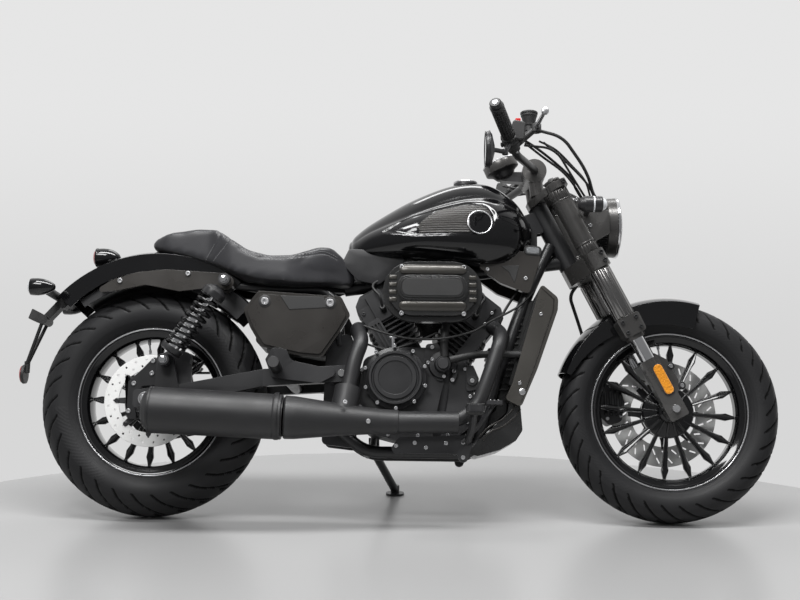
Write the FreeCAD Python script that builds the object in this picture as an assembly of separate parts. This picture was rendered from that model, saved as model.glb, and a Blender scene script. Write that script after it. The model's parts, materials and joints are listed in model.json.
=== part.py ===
import FreeCAD, Part
import os
from math import acos, asin, cos, pi, radians, sin, sqrt, tan

V = FreeCAD.Vector

# A cruiser motorcycle parked on its side stand. Millimetres and degrees.
# It is built upright, X forward, Y to its left, Z up from the ground midway between the axles,
# and leaned over onto its stand at the end.

# ---- layout ----
wheelbase = 1422.0
lean_deg = 14.0              # lean to the left when parked
rake_deg = 27.3              # steering axis from the vertical
fork_offset = 50.0           # fork legs ahead of the steering axis
running_gap = 0.08           # radial clearance of a shaft in its bore

# ---- tyres and cast wheels ----
tyre_crown_r = 80.0
spoke_count = 16
flange_lip = 6.0             # thickness of a rim flange
bead_depth = 14.0            # height of a flange over the bead seat
front_tyre_r = 303.0
front_tyre_w = 120.0
front_rim_r = 217.0
front_opening_r = 187.0
front_bead_half = 38.0
rear_tyre_r = 312.0
rear_tyre_w = 150.0
rear_rim_r = 205.0
rear_opening_r = 175.0
rear_bead_half = 52.0
front_hub_r = 70.0
rear_hub_r = 66.0
front_hub_half = 56.0        # half width of the front hub
rear_hub_half = 70.0
axle_r = 10.0

# ---- brakes and final drive ----
front_disc_r = 148.0
front_disc_inner_r = 112.0
rear_disc_r = 125.0
rear_disc_inner_r = 86.0
disc_t = 4.0
carrier_t = 6.0
rear_pulley_r = 92.0
front_pulley_r = 40.0
front_pulley_x = -95.0
front_pulley_z = 375.0
belt_w = 18.0
belt_t = 5.0
belt_gap = 0.4               # belt to pulley, the pulley turns in the fixed loop
belt_y = 91.0                # middle of the belt, left of the tyre

# ---- fork ----
fork_spread = 100.0          # fork leg from the middle plane
fork_length = 706.0          # axle to the top of a leg
outer_tube_r = 27.0
inner_tube_r = 20.5
inner_tube_top = 250.0       # where the inner tube enters the outer one
lower_clamp_s = 430.0
lower_clamp_t = 50.0
upper_clamp_s = 680.0
sleeve_bottom = 509.0        # smooth sleeve of the outer tube
sleeve_top = 647.0
upper_clamp_t = 20.0
stem_r = 14.0
head_tube_r = 28.0
head_gap = 1.0               # head tube to clamp faces
axle_block_inner = 80.0      # inner face of the axle blocks
axle_block_t = 36.0

# ---- handlebar ----
bar_r = 11.0
bar_half = 418.0             # bar end from the middle plane
grip_r = 17.5
grip_length = 126.0
bar_rise = 60.4              # bar centre above the fork tops, along the fork
bar_setback = 19.7           # and behind the fork line

# ---- frame ----
tube_r = 16.0
backbone_r = 20.0
rail_z = 180.0               # lower frame rails
rail_y = 80.0
pivot_x = -186.0
pivot_z = 387.0
pivot_r = 10.0
plate_inner = 58.0           # swingarm pivot plates of the frame
plate_outer = 76.0
seat_rail_z = 624.0
seat_rail_y = 74.0
seat_rail_r = 12.0

# ---- swingarm and shocks ----
arm_inner = 108.0
arm_outer = 136.0
spool_ahead = 62.0           # paddock stand bosses on the arms, ahead of the axle
spool_depth = 18.0
spool_hole_r = 4.0
shock_y = 165.0
shock_coil_r = 33.0
shock_top_x = -506.0
shock_top_z = 633.0
shock_foot_x = -660.0
shock_foot_z = 414.0
eye_r = 17.0
stud_r = 8.0

# ---- engine ----
crank_x = 35.0
crank_z = 365.0
front_bank_deg = 38.0        # cylinder lean from the vertical, forward
rear_bank_deg = 30.0         # and rearward
case_right = 110.0
case_left = 76.0
barrel_r = 50.0
fin_half = 64.0
fin_count = 6
fin_t = 5.0
fin_pitch = 14.0
barrel_start = 120.0         # crank centre to the first fin
head_h = 62.0
clutch_x = -42.0
clutch_z = 376.0
clutch_r = 79.0
pump_x = 86.0
pump_z = 414.0

# ---- exhaust ----
muffler_y = -200.0
muffler_r = 61.0
muffler_rear_x = -700.0
muffler_front_x = -340.0
muffler_z = 270.0
header_r = 19.5
collector_r = 31.0

# ---- bodywork ----
fender_t = 3.0
front_fender_gap = 13.0      # tyre crown to the fender's inner face
front_fender_half = 69.0
rear_fender_rise = 76.0      # crown of the rear fender over the tyre
rear_fender_half = 90.0
strut_t = 10.0
lamp_deg = 113.3             # tail lamp round the rear fender's arc
bracket_deg = 135.6          # plate bracket round it
cover_outer = 150.0          # outer face of the side covers
cover_t = 22.0
box_half = 100.0             # half width of the battery box

# ---- lamps ----
headlamp_drop = 165.0        # headlamp centre below the fork tops, along the fork
headlamp_ahead = 92.3
headlamp_r = 85.0
signal_drop = 118.0
signal_ahead = 40.0
signal_r = 22.0
front_signal_y = 200.0
rear_signal_y = 160.0

# ---- side stand ----
stand_pivot = V(-106.0, 135.0, 195.0)
stand_foot_x = -45.0
stand_foot_y = 320.0         # foot on the floor, out from the line under the wheels
stand_leg_r = 12.0
foot_r = 27.0
foot_t = 6.0

rear_fender_r = rear_tyre_r + rear_fender_rise
front_x = wheelbase / 2
rear_x = -wheelbase / 2
front_z = front_tyre_r
rear_z = rear_tyre_r
lean = radians(lean_deg)
rake = radians(rake_deg)
Y = V(0, 1, 0)
X = V(1, 0, 0)
Z = V(0, 0, 1)
spine_end = V(-190, 0, 640)   # rear end of the backbone tube
fork_up = V(-sin(rake), 0, cos(rake))
fork_ahead = V(cos(rake), 0, sin(rake))
nodes = {}
spaces = {}                  # room that other pieces keep clear of


# ---- helpers ----
def fork(up, ahead=0.0, y=0.0):
    """A point by its distance up the fork line from the front axle, ahead of it and sideways."""
    return V(front_x, y, front_z) + fork_up * up + fork_ahead * ahead


def front(dx, y, dz):
    """A point by its place from the front axle."""
    return V(front_x + dx, y, front_z + dz)


def tail(dx, y, dz):
    """A point by its place from the rear axle."""
    return V(rear_x + dx, y, rear_z + dz)


def on_fender(deg, out=0.0, y=0.0):
    """A point by its angle round the rear fender, from forward up over the crown, and its height over it."""
    r = rear_fender_r + out
    return tail(11 + r * cos(radians(deg)), y, 38 + r * sin(radians(deg)))


def spine_z(x):
    """Height of the backbone tube's centre line."""
    neck = fork(505, -fork_offset)
    return spine_end.z + (neck.z - spine_end.z) * (x - spine_end.x) / (neck.x - spine_end.x)


def outline(corners, place, bevel=False):
    """Closed wire through (a, b) or (a, b, radius) corners; place() turns (a, b) into a point.
    A corner with a radius is an arc, or one or two short straight runs when bevel is set."""
    points = [place(c[0], c[1]) for c in corners]
    radii = [c[2] if len(c) > 2 else 0.0 for c in corners]
    count = len(points)
    starts = []
    ends = []
    arcs = []
    for i in range(count):
        p = points[i]
        before = points[i - 1] - p
        after = points[(i + 1) % count] - p
        if radii[i] <= 0:
            starts.append(p)
            ends.append(p)
            arcs.append(None)
            continue
        a = V(before).normalize()
        b = V(after).normalize()
        half = acos(max(-1.0, min(1.0, a.dot(b)))) / 2
        reach = min(radii[i] / tan(half), 0.49 * before.Length, 0.49 * after.Length)
        radius = reach * tan(half)
        middle = (a + b).normalize()
        starts.append(p + a * reach)
        ends.append(p + b * reach)
        arcs.append(p + middle * (radius / sin(half) - radius))
    edges = []
    for i in range(count):
        if arcs[i] is not None and bevel:
            stops = [starts[i], arcs[i], ends[i]] if radii[i] > 6 else [starts[i], ends[i]]
            edges += [Part.LineSegment(a, b).toShape() for a, b in zip(stops, stops[1:])]
        elif arcs[i] is not None:
            edges.append(Part.Arc(starts[i], arcs[i], ends[i]).toShape())
        gap = starts[(i + 1) % count] - ends[i]
        if gap.Length > 1e-6:
            edges.append(Part.LineSegment(ends[i], starts[(i + 1) % count]).toShape())
    return Part.Wire(edges)


def plate(corners, y0, y1, base=V(0, 0, 0)):
    """Side-view outline of (x, z, radius) corners from base, extruded from y0 to y1."""
    face = Part.Face(outline(corners, lambda a, b: V(base.x + a, y0, base.z + b)))
    return face.extrude(V(0, y1 - y0, 0))


def fork_plate(corners, y0, y1):
    """The same with (ahead, up, radius) corners along the fork."""
    face = Part.Face(outline(corners, lambda a, b: fork(b, a, y0)))
    return face.extrude(V(0, y1 - y0, 0))


def sheet(corners, z0, z1):
    """Plan-view outline of (x, y, radius) corners, extruded from z0 to z1."""
    face = Part.Face(outline(corners, lambda a, b: V(a, b, z0)))
    return face.extrude(V(0, 0, z1 - z0))


def turned(profile, base, axis, angle=360.0):
    """Solid of revolution of (along, radius) corners about an axis through base."""
    along = V(axis).normalize()
    side = along.cross(Z)
    if side.Length < 0.1:
        side = along.cross(X)
    side.normalize()
    face = Part.Face(outline(profile, lambda a, r: base + along * a + side * r, True))
    return face.revolve(base, along, angle)


def rod(a, b, r):
    return Part.makeCylinder(r, (b - a).Length, a, b - a)


def box(x0, x1, y0, y1, z0, z1):
    return Part.makeBox(x1 - x0, y1 - y0, z1 - z0, V(x0, y0, z0))


def bent(points, r, share=0.45, sides=0):
    """Tube along straight runs joined by tangent arcs as large as the runs allow; round, or with flat sides."""
    edges = []
    start = points[0]
    for i in range(1, len(points) - 1):
        p = points[i]
        a = points[i - 1] - p
        b = points[i + 1] - p
        reach = share * min(a.Length, b.Length)
        a.normalize()
        b.normalize()
        half = acos(max(-1.0, min(1.0, a.dot(b)))) / 2
        radius = reach * tan(half)
        middle = p + (a + b).normalize() * (radius / sin(half) - radius)
        edges.append(Part.LineSegment(start, p + a * reach).toShape())
        edges.append(Part.Arc(p + a * reach, middle, p + b * reach).toShape())
        start = p + b * reach
    edges.append(Part.LineSegment(start, points[-1]).toShape())
    path = Part.Wire(edges)
    ring = Part.Wire([Part.Circle(points[0], points[1] - points[0], r).toShape()])
    if sides:
        ring = Part.makePolygon([ring.Edges[0].valueAt(2 * pi * (i % sides) / sides) for i in range(sides + 1)])
    return path.makePipeShell([ring], True, False)


def strap(a, b, width, thickness, normal):
    """Flat bar from a to b, its faces square to normal."""
    n = V(normal).normalize()
    side = (b - a).cross(n).normalize() * (width / 2)
    base = n * (-thickness / 2)
    corners = [a + side + base, b + side + base, b - side + base, a - side + base, a + side + base]
    return Part.Face(Part.makePolygon(corners)).extrude(n * thickness)


def fused(*shapes):
    joined = shapes[0].fuse(list(shapes[1:]))
    return joined.removeSplitter()


def mirrored(shape):
    return shape.mirror(V(0, 0, 0), Y)


def pair(shape):
    return Part.makeCompound([shape, mirrored(shape)])


def biggest(shape):
    return max(shape.Solids, key=lambda s: s.Volume)


# ---- tank, seat and bodywork ----
def add(name, shape):
    nodes[name] = shape


# ---- wheels ----
def tyre(x, z, radius, width, rim_r, bead_half):
    seat = rim_r - bead_depth
    crown_half = 0.8 * width / 2
    crown_drop = tyre_crown_r - sqrt(tyre_crown_r ** 2 - crown_half ** 2)
    widest = rim_r + 0.42 * (radius - rim_r)

    def at(y, r):
        return V(x, y, z + r)

    left = [at(bead_half, seat), at(bead_half, rim_r), at(width / 2, widest),
            at(crown_half, radius - crown_drop)]
    right = [at(-bead_half, seat), at(-bead_half, rim_r), at(-width / 2, widest),
             at(-crown_half, radius - crown_drop)]
    edges = [Part.LineSegment(right[0], left[0]).toShape(),
             Part.LineSegment(left[0], left[1]).toShape(),
             Part.Arc(left[1], left[2], left[3]).toShape(),
             Part.Arc(left[3], at(0, radius), right[3]).toShape(),
             Part.Arc(right[3], right[2], right[1]).toShape(),
             Part.LineSegment(right[1], right[0]).toShape()]
    return Part.Face(Part.Wire(edges)).revolve(V(x, 0, z), Y, 360)


def cast_wheel(x, z, rim_r, opening_r, bead_half, hub_r, hub_half):
    centre = V(x, 0, z)
    outer = bead_half + flange_lip
    seat = rim_r - bead_depth
    lip_r = opening_r + 0.6 * bead_depth
    ring = turned([(-outer, rim_r), (-bead_half, rim_r), (-bead_half, seat), (bead_half, seat),
                   (bead_half, rim_r),
                   (outer, rim_r), (outer, lip_r), (0.45 * outer, opening_r), (-0.45 * outer, opening_r),
                   (-outer, lip_r)], centre, Y)
    hub = turned([(-hub_half, 0), (-hub_half, 0.55 * hub_r, 4), (-0.3 * hub_half, hub_r, 8),
                  (0.3 * hub_half, hub_r, 8), (hub_half, 0.55 * hub_r, 4), (hub_half, 0)], centre, Y)
    reach = opening_r - hub_r
    # half widths along a dagger-shaped spoke: share of its length, half width
    shape = [(-0.06, 5.5), (0.1, 5.5), (0.74, 10.5), (1.01, 3.5)]
    corners = [(hub_r + share * reach, half) for share, half in shape]
    corners = corners + [(r, -half) for r, half in reversed(corners)]
    blade = Part.Face(outline(corners, lambda a, b: V(x + a, -9, z + b))).extrude(V(0, 18, 0))
    spokes = []
    for i in range(spoke_count):
        spoke = blade.copy()
        spoke.rotate(centre, Y, i * 360.0 / spoke_count + 4)
        spokes.append(spoke)
    bore = rod(V(x, -200, z), V(x, 200, z), axle_r + running_gap)
    return fused(ring, hub, *spokes).cut(bore)


def brake_disc(x, z, y0, side, disc_r, inner_r, hub_r):
    """Disc ring and its carrier, outward from the hub face at y0 on the given side."""
    ring = turned([(0, inner_r), (disc_t, inner_r), (disc_t, disc_r), (0, disc_r)], V(x, y0, z), Y * side)
    carrier = turned([(0, hub_r), (carrier_t, hub_r), (carrier_t, inner_r + 6), (disc_t, inner_r + 6),
                      (disc_t, inner_r), (0, inner_r)], V(x, y0, z), Y * side)
    disc = fused(ring, carrier)
    windows = []
    for i in range(6):
        window = turned([(-1, hub_r + 12), (carrier_t + 1, hub_r + 12), (carrier_t + 1, inner_r - 6),
                         (-1, inner_r - 6)], V(x, y0, z), Y * side, 38)
        window.rotate(V(x, 0, z), Y, 60 * i)
        windows.append(window)
    return disc.cut(windows)


def build_wheels():
    add("front_wheel", cast_wheel(front_x, front_z, front_rim_r, front_opening_r, front_bead_half,
                                  front_hub_r, front_hub_half))
    add("front_tyre", tyre(front_x, front_z, front_tyre_r, front_tyre_w, front_rim_r, front_bead_half))
    add("front_disc", brake_disc(front_x, front_z, front_hub_half, 1, front_disc_r, front_disc_inner_r,
                                 axle_r + 6))
    add("rear_wheel", cast_wheel(rear_x, rear_z, rear_rim_r, rear_opening_r, rear_bead_half,
                                 rear_hub_r, rear_hub_half))
    add("rear_tyre", tyre(rear_x, rear_z, rear_tyre_r, rear_tyre_w, rear_rim_r, rear_bead_half))
    disc_y = -rear_hub_half
    add("rear_disc", brake_disc(rear_x, rear_z, disc_y, -1, rear_disc_r, rear_disc_inner_r, axle_r + 6))
    pulley_inner = belt_y - belt_w / 2 - 2
    pulley_outer = belt_y + belt_w / 2 + 2
    pulley = turned([(rear_hub_half, axle_r + 6), (rear_hub_half, 46), (pulley_inner, rear_pulley_r - 14),
                     (pulley_inner, rear_pulley_r), (pulley_outer, rear_pulley_r),
                     (pulley_outer, rear_pulley_r - 10), (pulley_outer - 10, 40), (pulley_outer, 30),
                     (pulley_outer, axle_r + 6)], V(rear_x, 0, rear_z), Y)
    add("rear_pulley", pulley)


def build_axles():
    """Each axle is one turned piece with the collars that space the wheel."""
    front = turned([(-fork_spread - 26, 0), (-fork_spread - 26, axle_r), (-axle_block_inner, axle_r),
                    (-axle_block_inner, 17), (-front_hub_half - 0.4, 17), (-front_hub_half - 0.4, axle_r),
                    (front_hub_half + carrier_t + 0.4, axle_r), (front_hub_half + carrier_t + 0.4, 17),
                    (axle_block_inner, 17), (axle_block_inner, axle_r), (fork_spread + 26, axle_r),
                    (fork_spread + 26, 0)], V(front_x, 0, front_z), Y)
    add("front_axle", front)
    right = rear_hub_half + carrier_t + 0.4
    left = belt_y + belt_w / 2 + 2.4
    end = arm_outer + 14
    rear = turned([(-end, 0), (-end, 15), (-arm_outer, 15), (-arm_outer, axle_r), (-arm_inner, axle_r),
                   (-arm_inner, 16), (-right, 16), (-right, axle_r), (left, axle_r), (left, 16),
                   (arm_inner, 16), (arm_inner, axle_r), (arm_outer, axle_r), (arm_outer, 15), (end, 15),
                   (end, 0)], V(rear_x, 0, rear_z), Y)
    add("rear_axle", rear)


def belt_loop(c1, r1, c2, r2, y0, y1):
    """Band round two pulleys: two arcs and the two straight runs that touch both."""
    gap = V(c2[0] - c1[0], 0, c2[1] - c1[1])
    length = gap.Length
    d = V(gap).normalize()
    up = V(-d.z, 0, d.x)
    tilt = asin((r1 - r2) / length)
    a = V(c1[0], y0, c1[1])
    b = V(c2[0], y0, c2[1])
    top = d * sin(tilt) + up * cos(tilt)
    low = d * sin(tilt) - up * cos(tilt)
    edges = [Part.LineSegment(a + top * r1, b + top * r2).toShape(),
             Part.Arc(b + top * r2, b + d * r2, b + low * r2).toShape(),
             Part.LineSegment(b + low * r2, a + low * r1).toShape(),
             Part.Arc(a + low * r1, a - d * r1, a + top * r1).toShape()]
    return Part.Face(Part.Wire(edges)).extrude(V(0, y1 - y0, 0))


def build_drive():
    front = (front_pulley_x, front_pulley_z)
    rear = (rear_x, rear_z)
    y0 = belt_y - belt_w / 2
    y1 = belt_y + belt_w / 2
    inner_rear = rear_pulley_r + belt_gap
    inner_front = front_pulley_r + belt_gap
    hole = belt_loop(rear, inner_rear, front, inner_front, y0 - 1, y1 + 1)
    band = belt_loop(rear, inner_rear + belt_t, front, inner_front + belt_t, y0, y1).cut(hole)
    add("drive_belt", band)
    pulley = rod(V(front[0], case_left, front[1]), V(front[0], y1 + 2, front[1]), front_pulley_r)
    add("front_pulley", pulley)


# ---- fork and steering ----
def build_fork():
    def leg(side):
        y = side * fork_spread
        base = fork(0, 0, y)
        # along the fork, radius: inner tube, dust cap, fluted tube, smooth sleeve, top cap
        tube = turned([(60, 0), (60, inner_tube_r), (inner_tube_top - 24, inner_tube_r),
                       (inner_tube_top - 24, outer_tube_r + 1), (lower_clamp_s, outer_tube_r + 1),
                       (lower_clamp_s, outer_tube_r), (sleeve_bottom, outer_tube_r),
                       (sleeve_bottom, outer_tube_r + 2), (sleeve_top, outer_tube_r + 2),
                       (sleeve_top, outer_tube_r), (fork_length - 8, outer_tube_r),
                       (fork_length, outer_tube_r - 6), (fork_length, 0)], base, fork_up)
        inner = side * axle_block_inner
        outer = inner + side * axle_block_t
        casting = fork_plate([(-26, 24, 4), (26, 24, 4), (28, 60, 6), (24, 150, 8), (-24, 150, 8),
                              (-26, 60, 6)],
                             inner, outer)
        clamp = fork_plate([(-27, -27, 6), (27, -27, 6), (27, 28, 4), (-27, 28, 4)], inner, outer)
        brace = fork_plate([(18, 44, 3), (34, 36, 6), (47, 66, 6), (46, 128, 8), (18, 166, 3)],
                           inner, outer - side * 14)
        collar_inner = side * front_fender_half
        collar = fork_plate([(-31, 225, 8), (31, 225, 8), (33, 280, 8), (-33, 280, 8)], collar_inner,
                            side * (fork_spread + 33))
        bore = rod(V(front_x, side * 60, front_z), V(front_x, side * 140, front_z), axle_r)
        return fused(tube, casting, clamp, brace, collar).cut(bore)

    legs = Part.makeCompound([leg(1), leg(-1)])
    add("fork_legs", legs)

    def clamp(s, t, back, width):
        corners = [(-back, -24, 18), (-back, 24, 18), (-10, width, 30), (34, width, 30),
                   (34, fork_spread - 36, 20),
                   (6, 40, 30), (6, -40, 30), (34, 36 - fork_spread, 20), (34, -width, 30),
                   (-10, -width, 30)]
        face = Part.Face(outline(corners, lambda p, q: fork(s, p, q)))
        return face.extrude(fork_up * t)

    lower = clamp(lower_clamp_s, lower_clamp_t, fork_offset + 24, fork_spread + 34)
    upper = clamp(upper_clamp_s, upper_clamp_t, fork_offset + 24, fork_spread + 34)
    stem = rod(fork(lower_clamp_s, -fork_offset), fork(upper_clamp_s + upper_clamp_t + 8, -fork_offset),
               stem_r)
    holes = [rod(fork(lower_clamp_s - 20, 0, y), fork(upper_clamp_s + 60, 0, y), outer_tube_r)
             for y in (-fork_spread, fork_spread)]
    holes += [rod(fork(lower_clamp_s - 20, 0, y), fork(lower_clamp_s, 0, y), outer_tube_r + 1)
              for y in (-fork_spread, fork_spread)]
    add("triple_clamps", fused(lower, upper, stem).cut(holes))


def build_handlebar():
    centre = fork(fork_length + bar_rise, -bar_setback)
    outer = centre + V(-130, -bar_half, 65)
    along = V(-42, -114, 48).normalize()
    inner = outer - along * (grip_length + 76)
    half = [centre + V(0, -70, 0), inner, outer]
    points = [V(p.x, -p.y, p.z) for p in reversed(half)] + half
    bar = bent(points, bar_r, 0.1)
    add("handlebar", bar)
    grip = turned([(4 - grip_length, 0), (4 - grip_length, grip_r + 4), (10 - grip_length, grip_r + 4),
                   (12 - grip_length, grip_r), (-14, grip_r), (-12, grip_r + 1.5), (4, grip_r + 1.5),
                   (8, grip_r - 4),
                   (8, 0)], outer, along)
    grip = grip.cut(bar)
    add("grips", pair(grip))

    def on_bar(s):
        return outer - along * s

    pod_a = on_bar(grip_length - 2)
    pod = turned([(0, 0), (0, 20), (6, 23), (26, 23), (31, 19), (31, 0)], pod_a, -along)
    perch = rod(on_bar(grip_length + 26), on_bar(grip_length + 49), 17)
    core = rod(outer + along, on_bar(grip_length + 52), bar_r)
    pivot = centre + V(-16, -264, 60)
    ball = centre + V(-3, -392, 66)
    arm = rod(on_bar(grip_length + 41), pivot, 9.5)
    knuckle = rod(pivot - Z * 12, pivot + Z * 10, 15)
    lever = turned([(0, 0), (0, 7), (30, 5.5), (112, 4.5), (116, 8), (122, 10), (128, 8), (132, 0)], pivot,
                   ball - pivot)
    pieces = [pod, perch, arm, knuckle, lever]
    control = fused(*pieces).cut(core)
    left = fused(*[mirrored(piece) for piece in pieces]).cut(mirrored(core))
    tank_foot = centre + V(-33, -258, 66)
    reservoir = turned([(0, 0), (0, 15, 2), (6, 16), (24, 20), (28, 22, 2), (34, 22, 2), (34, 0)],
                       tank_foot, Z)
    neck = rod(tank_foot - Z * 14, tank_foot + Z * 2, 13).cut(core)
    right = fused(control, reservoir, neck)
    add("hand_controls", Part.makeCompound([biggest(right), biggest(left)]))

    mirror_centre = centre + V(-147, -372, -34)
    glass = turned([(-8, 0), (-8, 45), (0, 48), (7, 40), (14, 12), (14, 0)], mirror_centre, X)
    root = pod_a + V(8, 6, 20)
    elbow = mirror_centre + V(44, 34, 4)
    low = root + V(-6, -8, -38)
    stalk = [rod(mirror_centre + V(8, 0, 0), elbow, 6), rod(elbow, low, 6), rod(low, root, 6),
             rod(elbow - Z * 7, elbow + Z * 7, 8), rod(low - Z * 6, low + Z * 8, 8)]
    add("mirrors", pair(biggest(fused(glass, *stalk).cut([right, grip, core]))))

    housing = rod(centre - Y * 66, centre + Y * 66, 34)
    foot = fork(upper_clamp_s + upper_clamp_t, -fork_offset)
    risers = [rod(V(foot.x + 6, y, foot.z + 2), V(centre.x, y, centre.z), 20) for y in (-46, 46)]
    body = fused(housing, *risers).cut([nodes["triple_clamps"], bar])
    add("risers", body)

    face_axis = V(-0.40, 0, 0.92).normalize()
    top = centre + V(-94, 0, 36)
    gauge = turned([(-46, 0), (-46, 24, 6), (-30, 34, 4), (-24, 44, 4), (-22, 48, 2), (2, 48, 3), (4, 44),
                    (4, 0)],
                   top, face_axis)
    arm = plate([(-92, -16, 4), (-92, 10, 4), (-20, 10, 4), (-20, -20, 4)], -15, 15, centre)
    add("speedometer", fused(gauge, arm).cut([body, bar]))


def build_cables():
    """Control cables and brake hose; each hangs in large arcs between pieces that steer together."""
    centre = fork(fork_length + bar_rise, -bar_setback)
    lamp = fork(fork_length - headlamp_drop, headlamp_ahead)
    perch = centre + V(-12, -264, 54)
    outer = bent([perch, centre + V(56, -262, 37), centre + V(128, -210, -45), centre + V(158, -120, -95),
                  lamp + V(11, -36, 52)], 4.5, 0.45, 10)
    inner = bent([centre + V(-46, -262, 12), centre + V(40, -226, 16), centre + V(100, -150, -50),
                  lamp + V(-40, -60, 40), lamp + V(10, -44, 26)], 3.2, 0.45, 10)
    hose = bent([fork(436, -40, 36), fork(418, -76, 60), fork(316, -85, 108), fork(209, -107, 108),
                 fork(140, -101, 92)], 5, 0.45, 10)
    cutters = [nodes[n] for n in ("hand_controls", "handlebar", "headlamp", "triple_clamps",
                                  "front_caliper")]
    right = [biggest(c.cut(cutters)) for c in (outer, inner)]
    left = [biggest(mirrored(c).cut(cutters)) for c in (outer, inner)]
    add("cables", Part.makeCompound(right + left))
    add("brake_hose", biggest(hose.cut(cutters)))


def build_lamps():
    centre = fork(fork_length - headlamp_drop, headlamp_ahead)
    shell = turned([(-46, 0), (-46, 52, 6), (-4, 62, 4), (0, headlamp_r - 2, 3), (32, headlamp_r, 4),
                    (36, headlamp_r - 6), (26, headlamp_r - 8), (26, 0)], centre, X)
    lens = turned([(26.2, 0), (26.2, headlamp_r - 8.5), (36, headlamp_r - 8.5, 8), (46, 40, 30), (48, 0)],
                  centre, X)
    bracket = plate([(-121, 60, 8), (-40, 54, 8), (2, 24, 8), (2, -36, 8), (-40, -61, 10), (-75, -44, 10)],
                    10 - fork_spread, 22 - fork_spread, centre)
    legs = nodes["fork_legs"]
    bracket = bracket.cut([legs, shell])
    add("headlamp", fused(shell, bracket, mirrored(bracket)))
    add("headlamp_lens", lens)
    signal = fork(fork_length - signal_drop, signal_ahead, -front_signal_y)
    bullet = turned([(-33, 0), (-30, 14, 8), (-14, signal_r, 6), (32, signal_r, 2), (34, signal_r - 4),
                     (34, 0)],
                    signal, X)
    stalk = rod(signal + V(5, front_signal_y + 10 - fork_spread, 2), signal + V(3, 6, 0), 8)
    stalk = stalk.cut([legs, nodes["headlamp"]])
    add("front_signals", pair(fused(bullet, stalk)))


def build_front_fender():
    inner = front_tyre_r + front_fender_gap
    half = front_fender_half

    def at(y, r):
        return V(front_x, y, front_z + r)

    def arch(r, w, shoulder, foot):
        edges = [Part.LineSegment(at(-w, foot), at(-w, shoulder)).toShape(),
                 Part.Arc(at(-w, shoulder), at(0, r), at(w, shoulder)).toShape(),
                 Part.LineSegment(at(w, shoulder), at(w, foot)).toShape(),
                 Part.LineSegment(at(w, foot), at(-w, foot)).toShape()]
        return Part.Face(Part.Wire(edges))

    foot = front_tyre_r - 90
    outer = arch(inner + fender_t, half, inner - 14, foot)
    space = arch(inner, half - fender_t, inner - 14 - fender_t, foot - 1)
    section = outer.cut(space)
    section.rotate(V(front_x, 0, front_z), Y, 16)
    shell = section.revolve(V(front_x, 0, front_z), Y * -1, 87)
    edge = rod(V(front_x - 20, -100, front_z - 60), V(front_x - 20, 100, front_z - 60), 296)
    add("front_fender", shell.cut(edge))


def build_front_brake():
    y0 = front_hub_half
    body = plate([(-179, -13, 12), (-155, -35, 12), (-121, -23, 12), (-111, 27, 12), (-127, 87, 12),
                  (-159, 89, 12),
                  (-177, 47, 12)], y0 - 22, y0 + 42, front(0, 0, 0))
    slot = turned([(-2, 0), (-2, front_disc_r + 3), (carrier_t + 2, front_disc_r + 3), (carrier_t + 2, 0)],
                  front(0, y0, 0), Y)
    add("front_caliper", body.cut([slot]))


# ---- frame ----
def build_frame():
    head = turned([(lower_clamp_s + lower_clamp_t + head_gap, stem_r + running_gap),
                   (lower_clamp_s + lower_clamp_t + head_gap, head_tube_r),
                   (upper_clamp_s - head_gap, head_tube_r),
                   (upper_clamp_s - head_gap, stem_r + running_gap)], fork(0, -fork_offset), fork_up)
    neck = fork(505, -fork_offset)
    spine = rod(neck - fork_ahead * 10, spine_end, backbone_r)
    down = bent([fork(560, -fork_offset - 22, -14), V(314, -58, 607), V(206, -70, 300),
                 V(176, -rail_y, rail_z),
                 V(80, -rail_y, rail_z), V(-120, -rail_y + 8, rail_z), V(-196, -67, 240)], tube_r, 0.4)
    mount_bar = rod(V(104, -124, 404), V(66, -rail_y - 20, rail_z + 14), 12)
    rear_rail = bent([V(-196, -67, 470), V(-214, -74, 600), V(-250, -seat_rail_y, seat_rail_z),
                      V(-400, -seat_rail_y, seat_rail_z), V(-540, -seat_rail_y, seat_rail_z + 18)],
                     seat_rail_r, 0.4)
    pivot_plate = plate([(-240, 200, 14), (-150, 190, 14), (-156, 300, 30), (-140, 400, 30),
                         (-164, 500, 14),
                         (-232, 500, 14), (-236, 380, 30)], -plate_inner, -plate_outer)
    parts = [head, spine, mount_bar]
    for side in (down, rear_rail, pivot_plate):
        parts.append(side)
        parts.append(mirrored(side))
    crosses = [rod(V(-214, -74, 600), V(-214, 74, 600), seat_rail_r),
               rod(V(-250, -seat_rail_y, seat_rail_z), spine_end, seat_rail_r),
               rod(V(-250, seat_rail_y, seat_rail_z), spine_end, seat_rail_r),
               rod(V(-120, -rail_y, rail_z), V(-120, rail_y, rail_z), 10),
               rod(V(150, -rail_y, rail_z), V(150, rail_y, rail_z), 10),
               rod(V(-198, -67, 470), V(-198, 67, 470), 14)]
    frame = fused(*parts, *crosses)
    stem_space = rod(fork(lower_clamp_s, -fork_offset), fork(upper_clamp_s + upper_clamp_t, -fork_offset),
                     stem_r + running_gap)
    bolt = rod(V(pivot_x, -plate_outer - 1, pivot_z), V(pivot_x, plate_outer + 1, pivot_z), pivot_r)
    add("frame", frame.cut([stem_space, bolt]))


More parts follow.
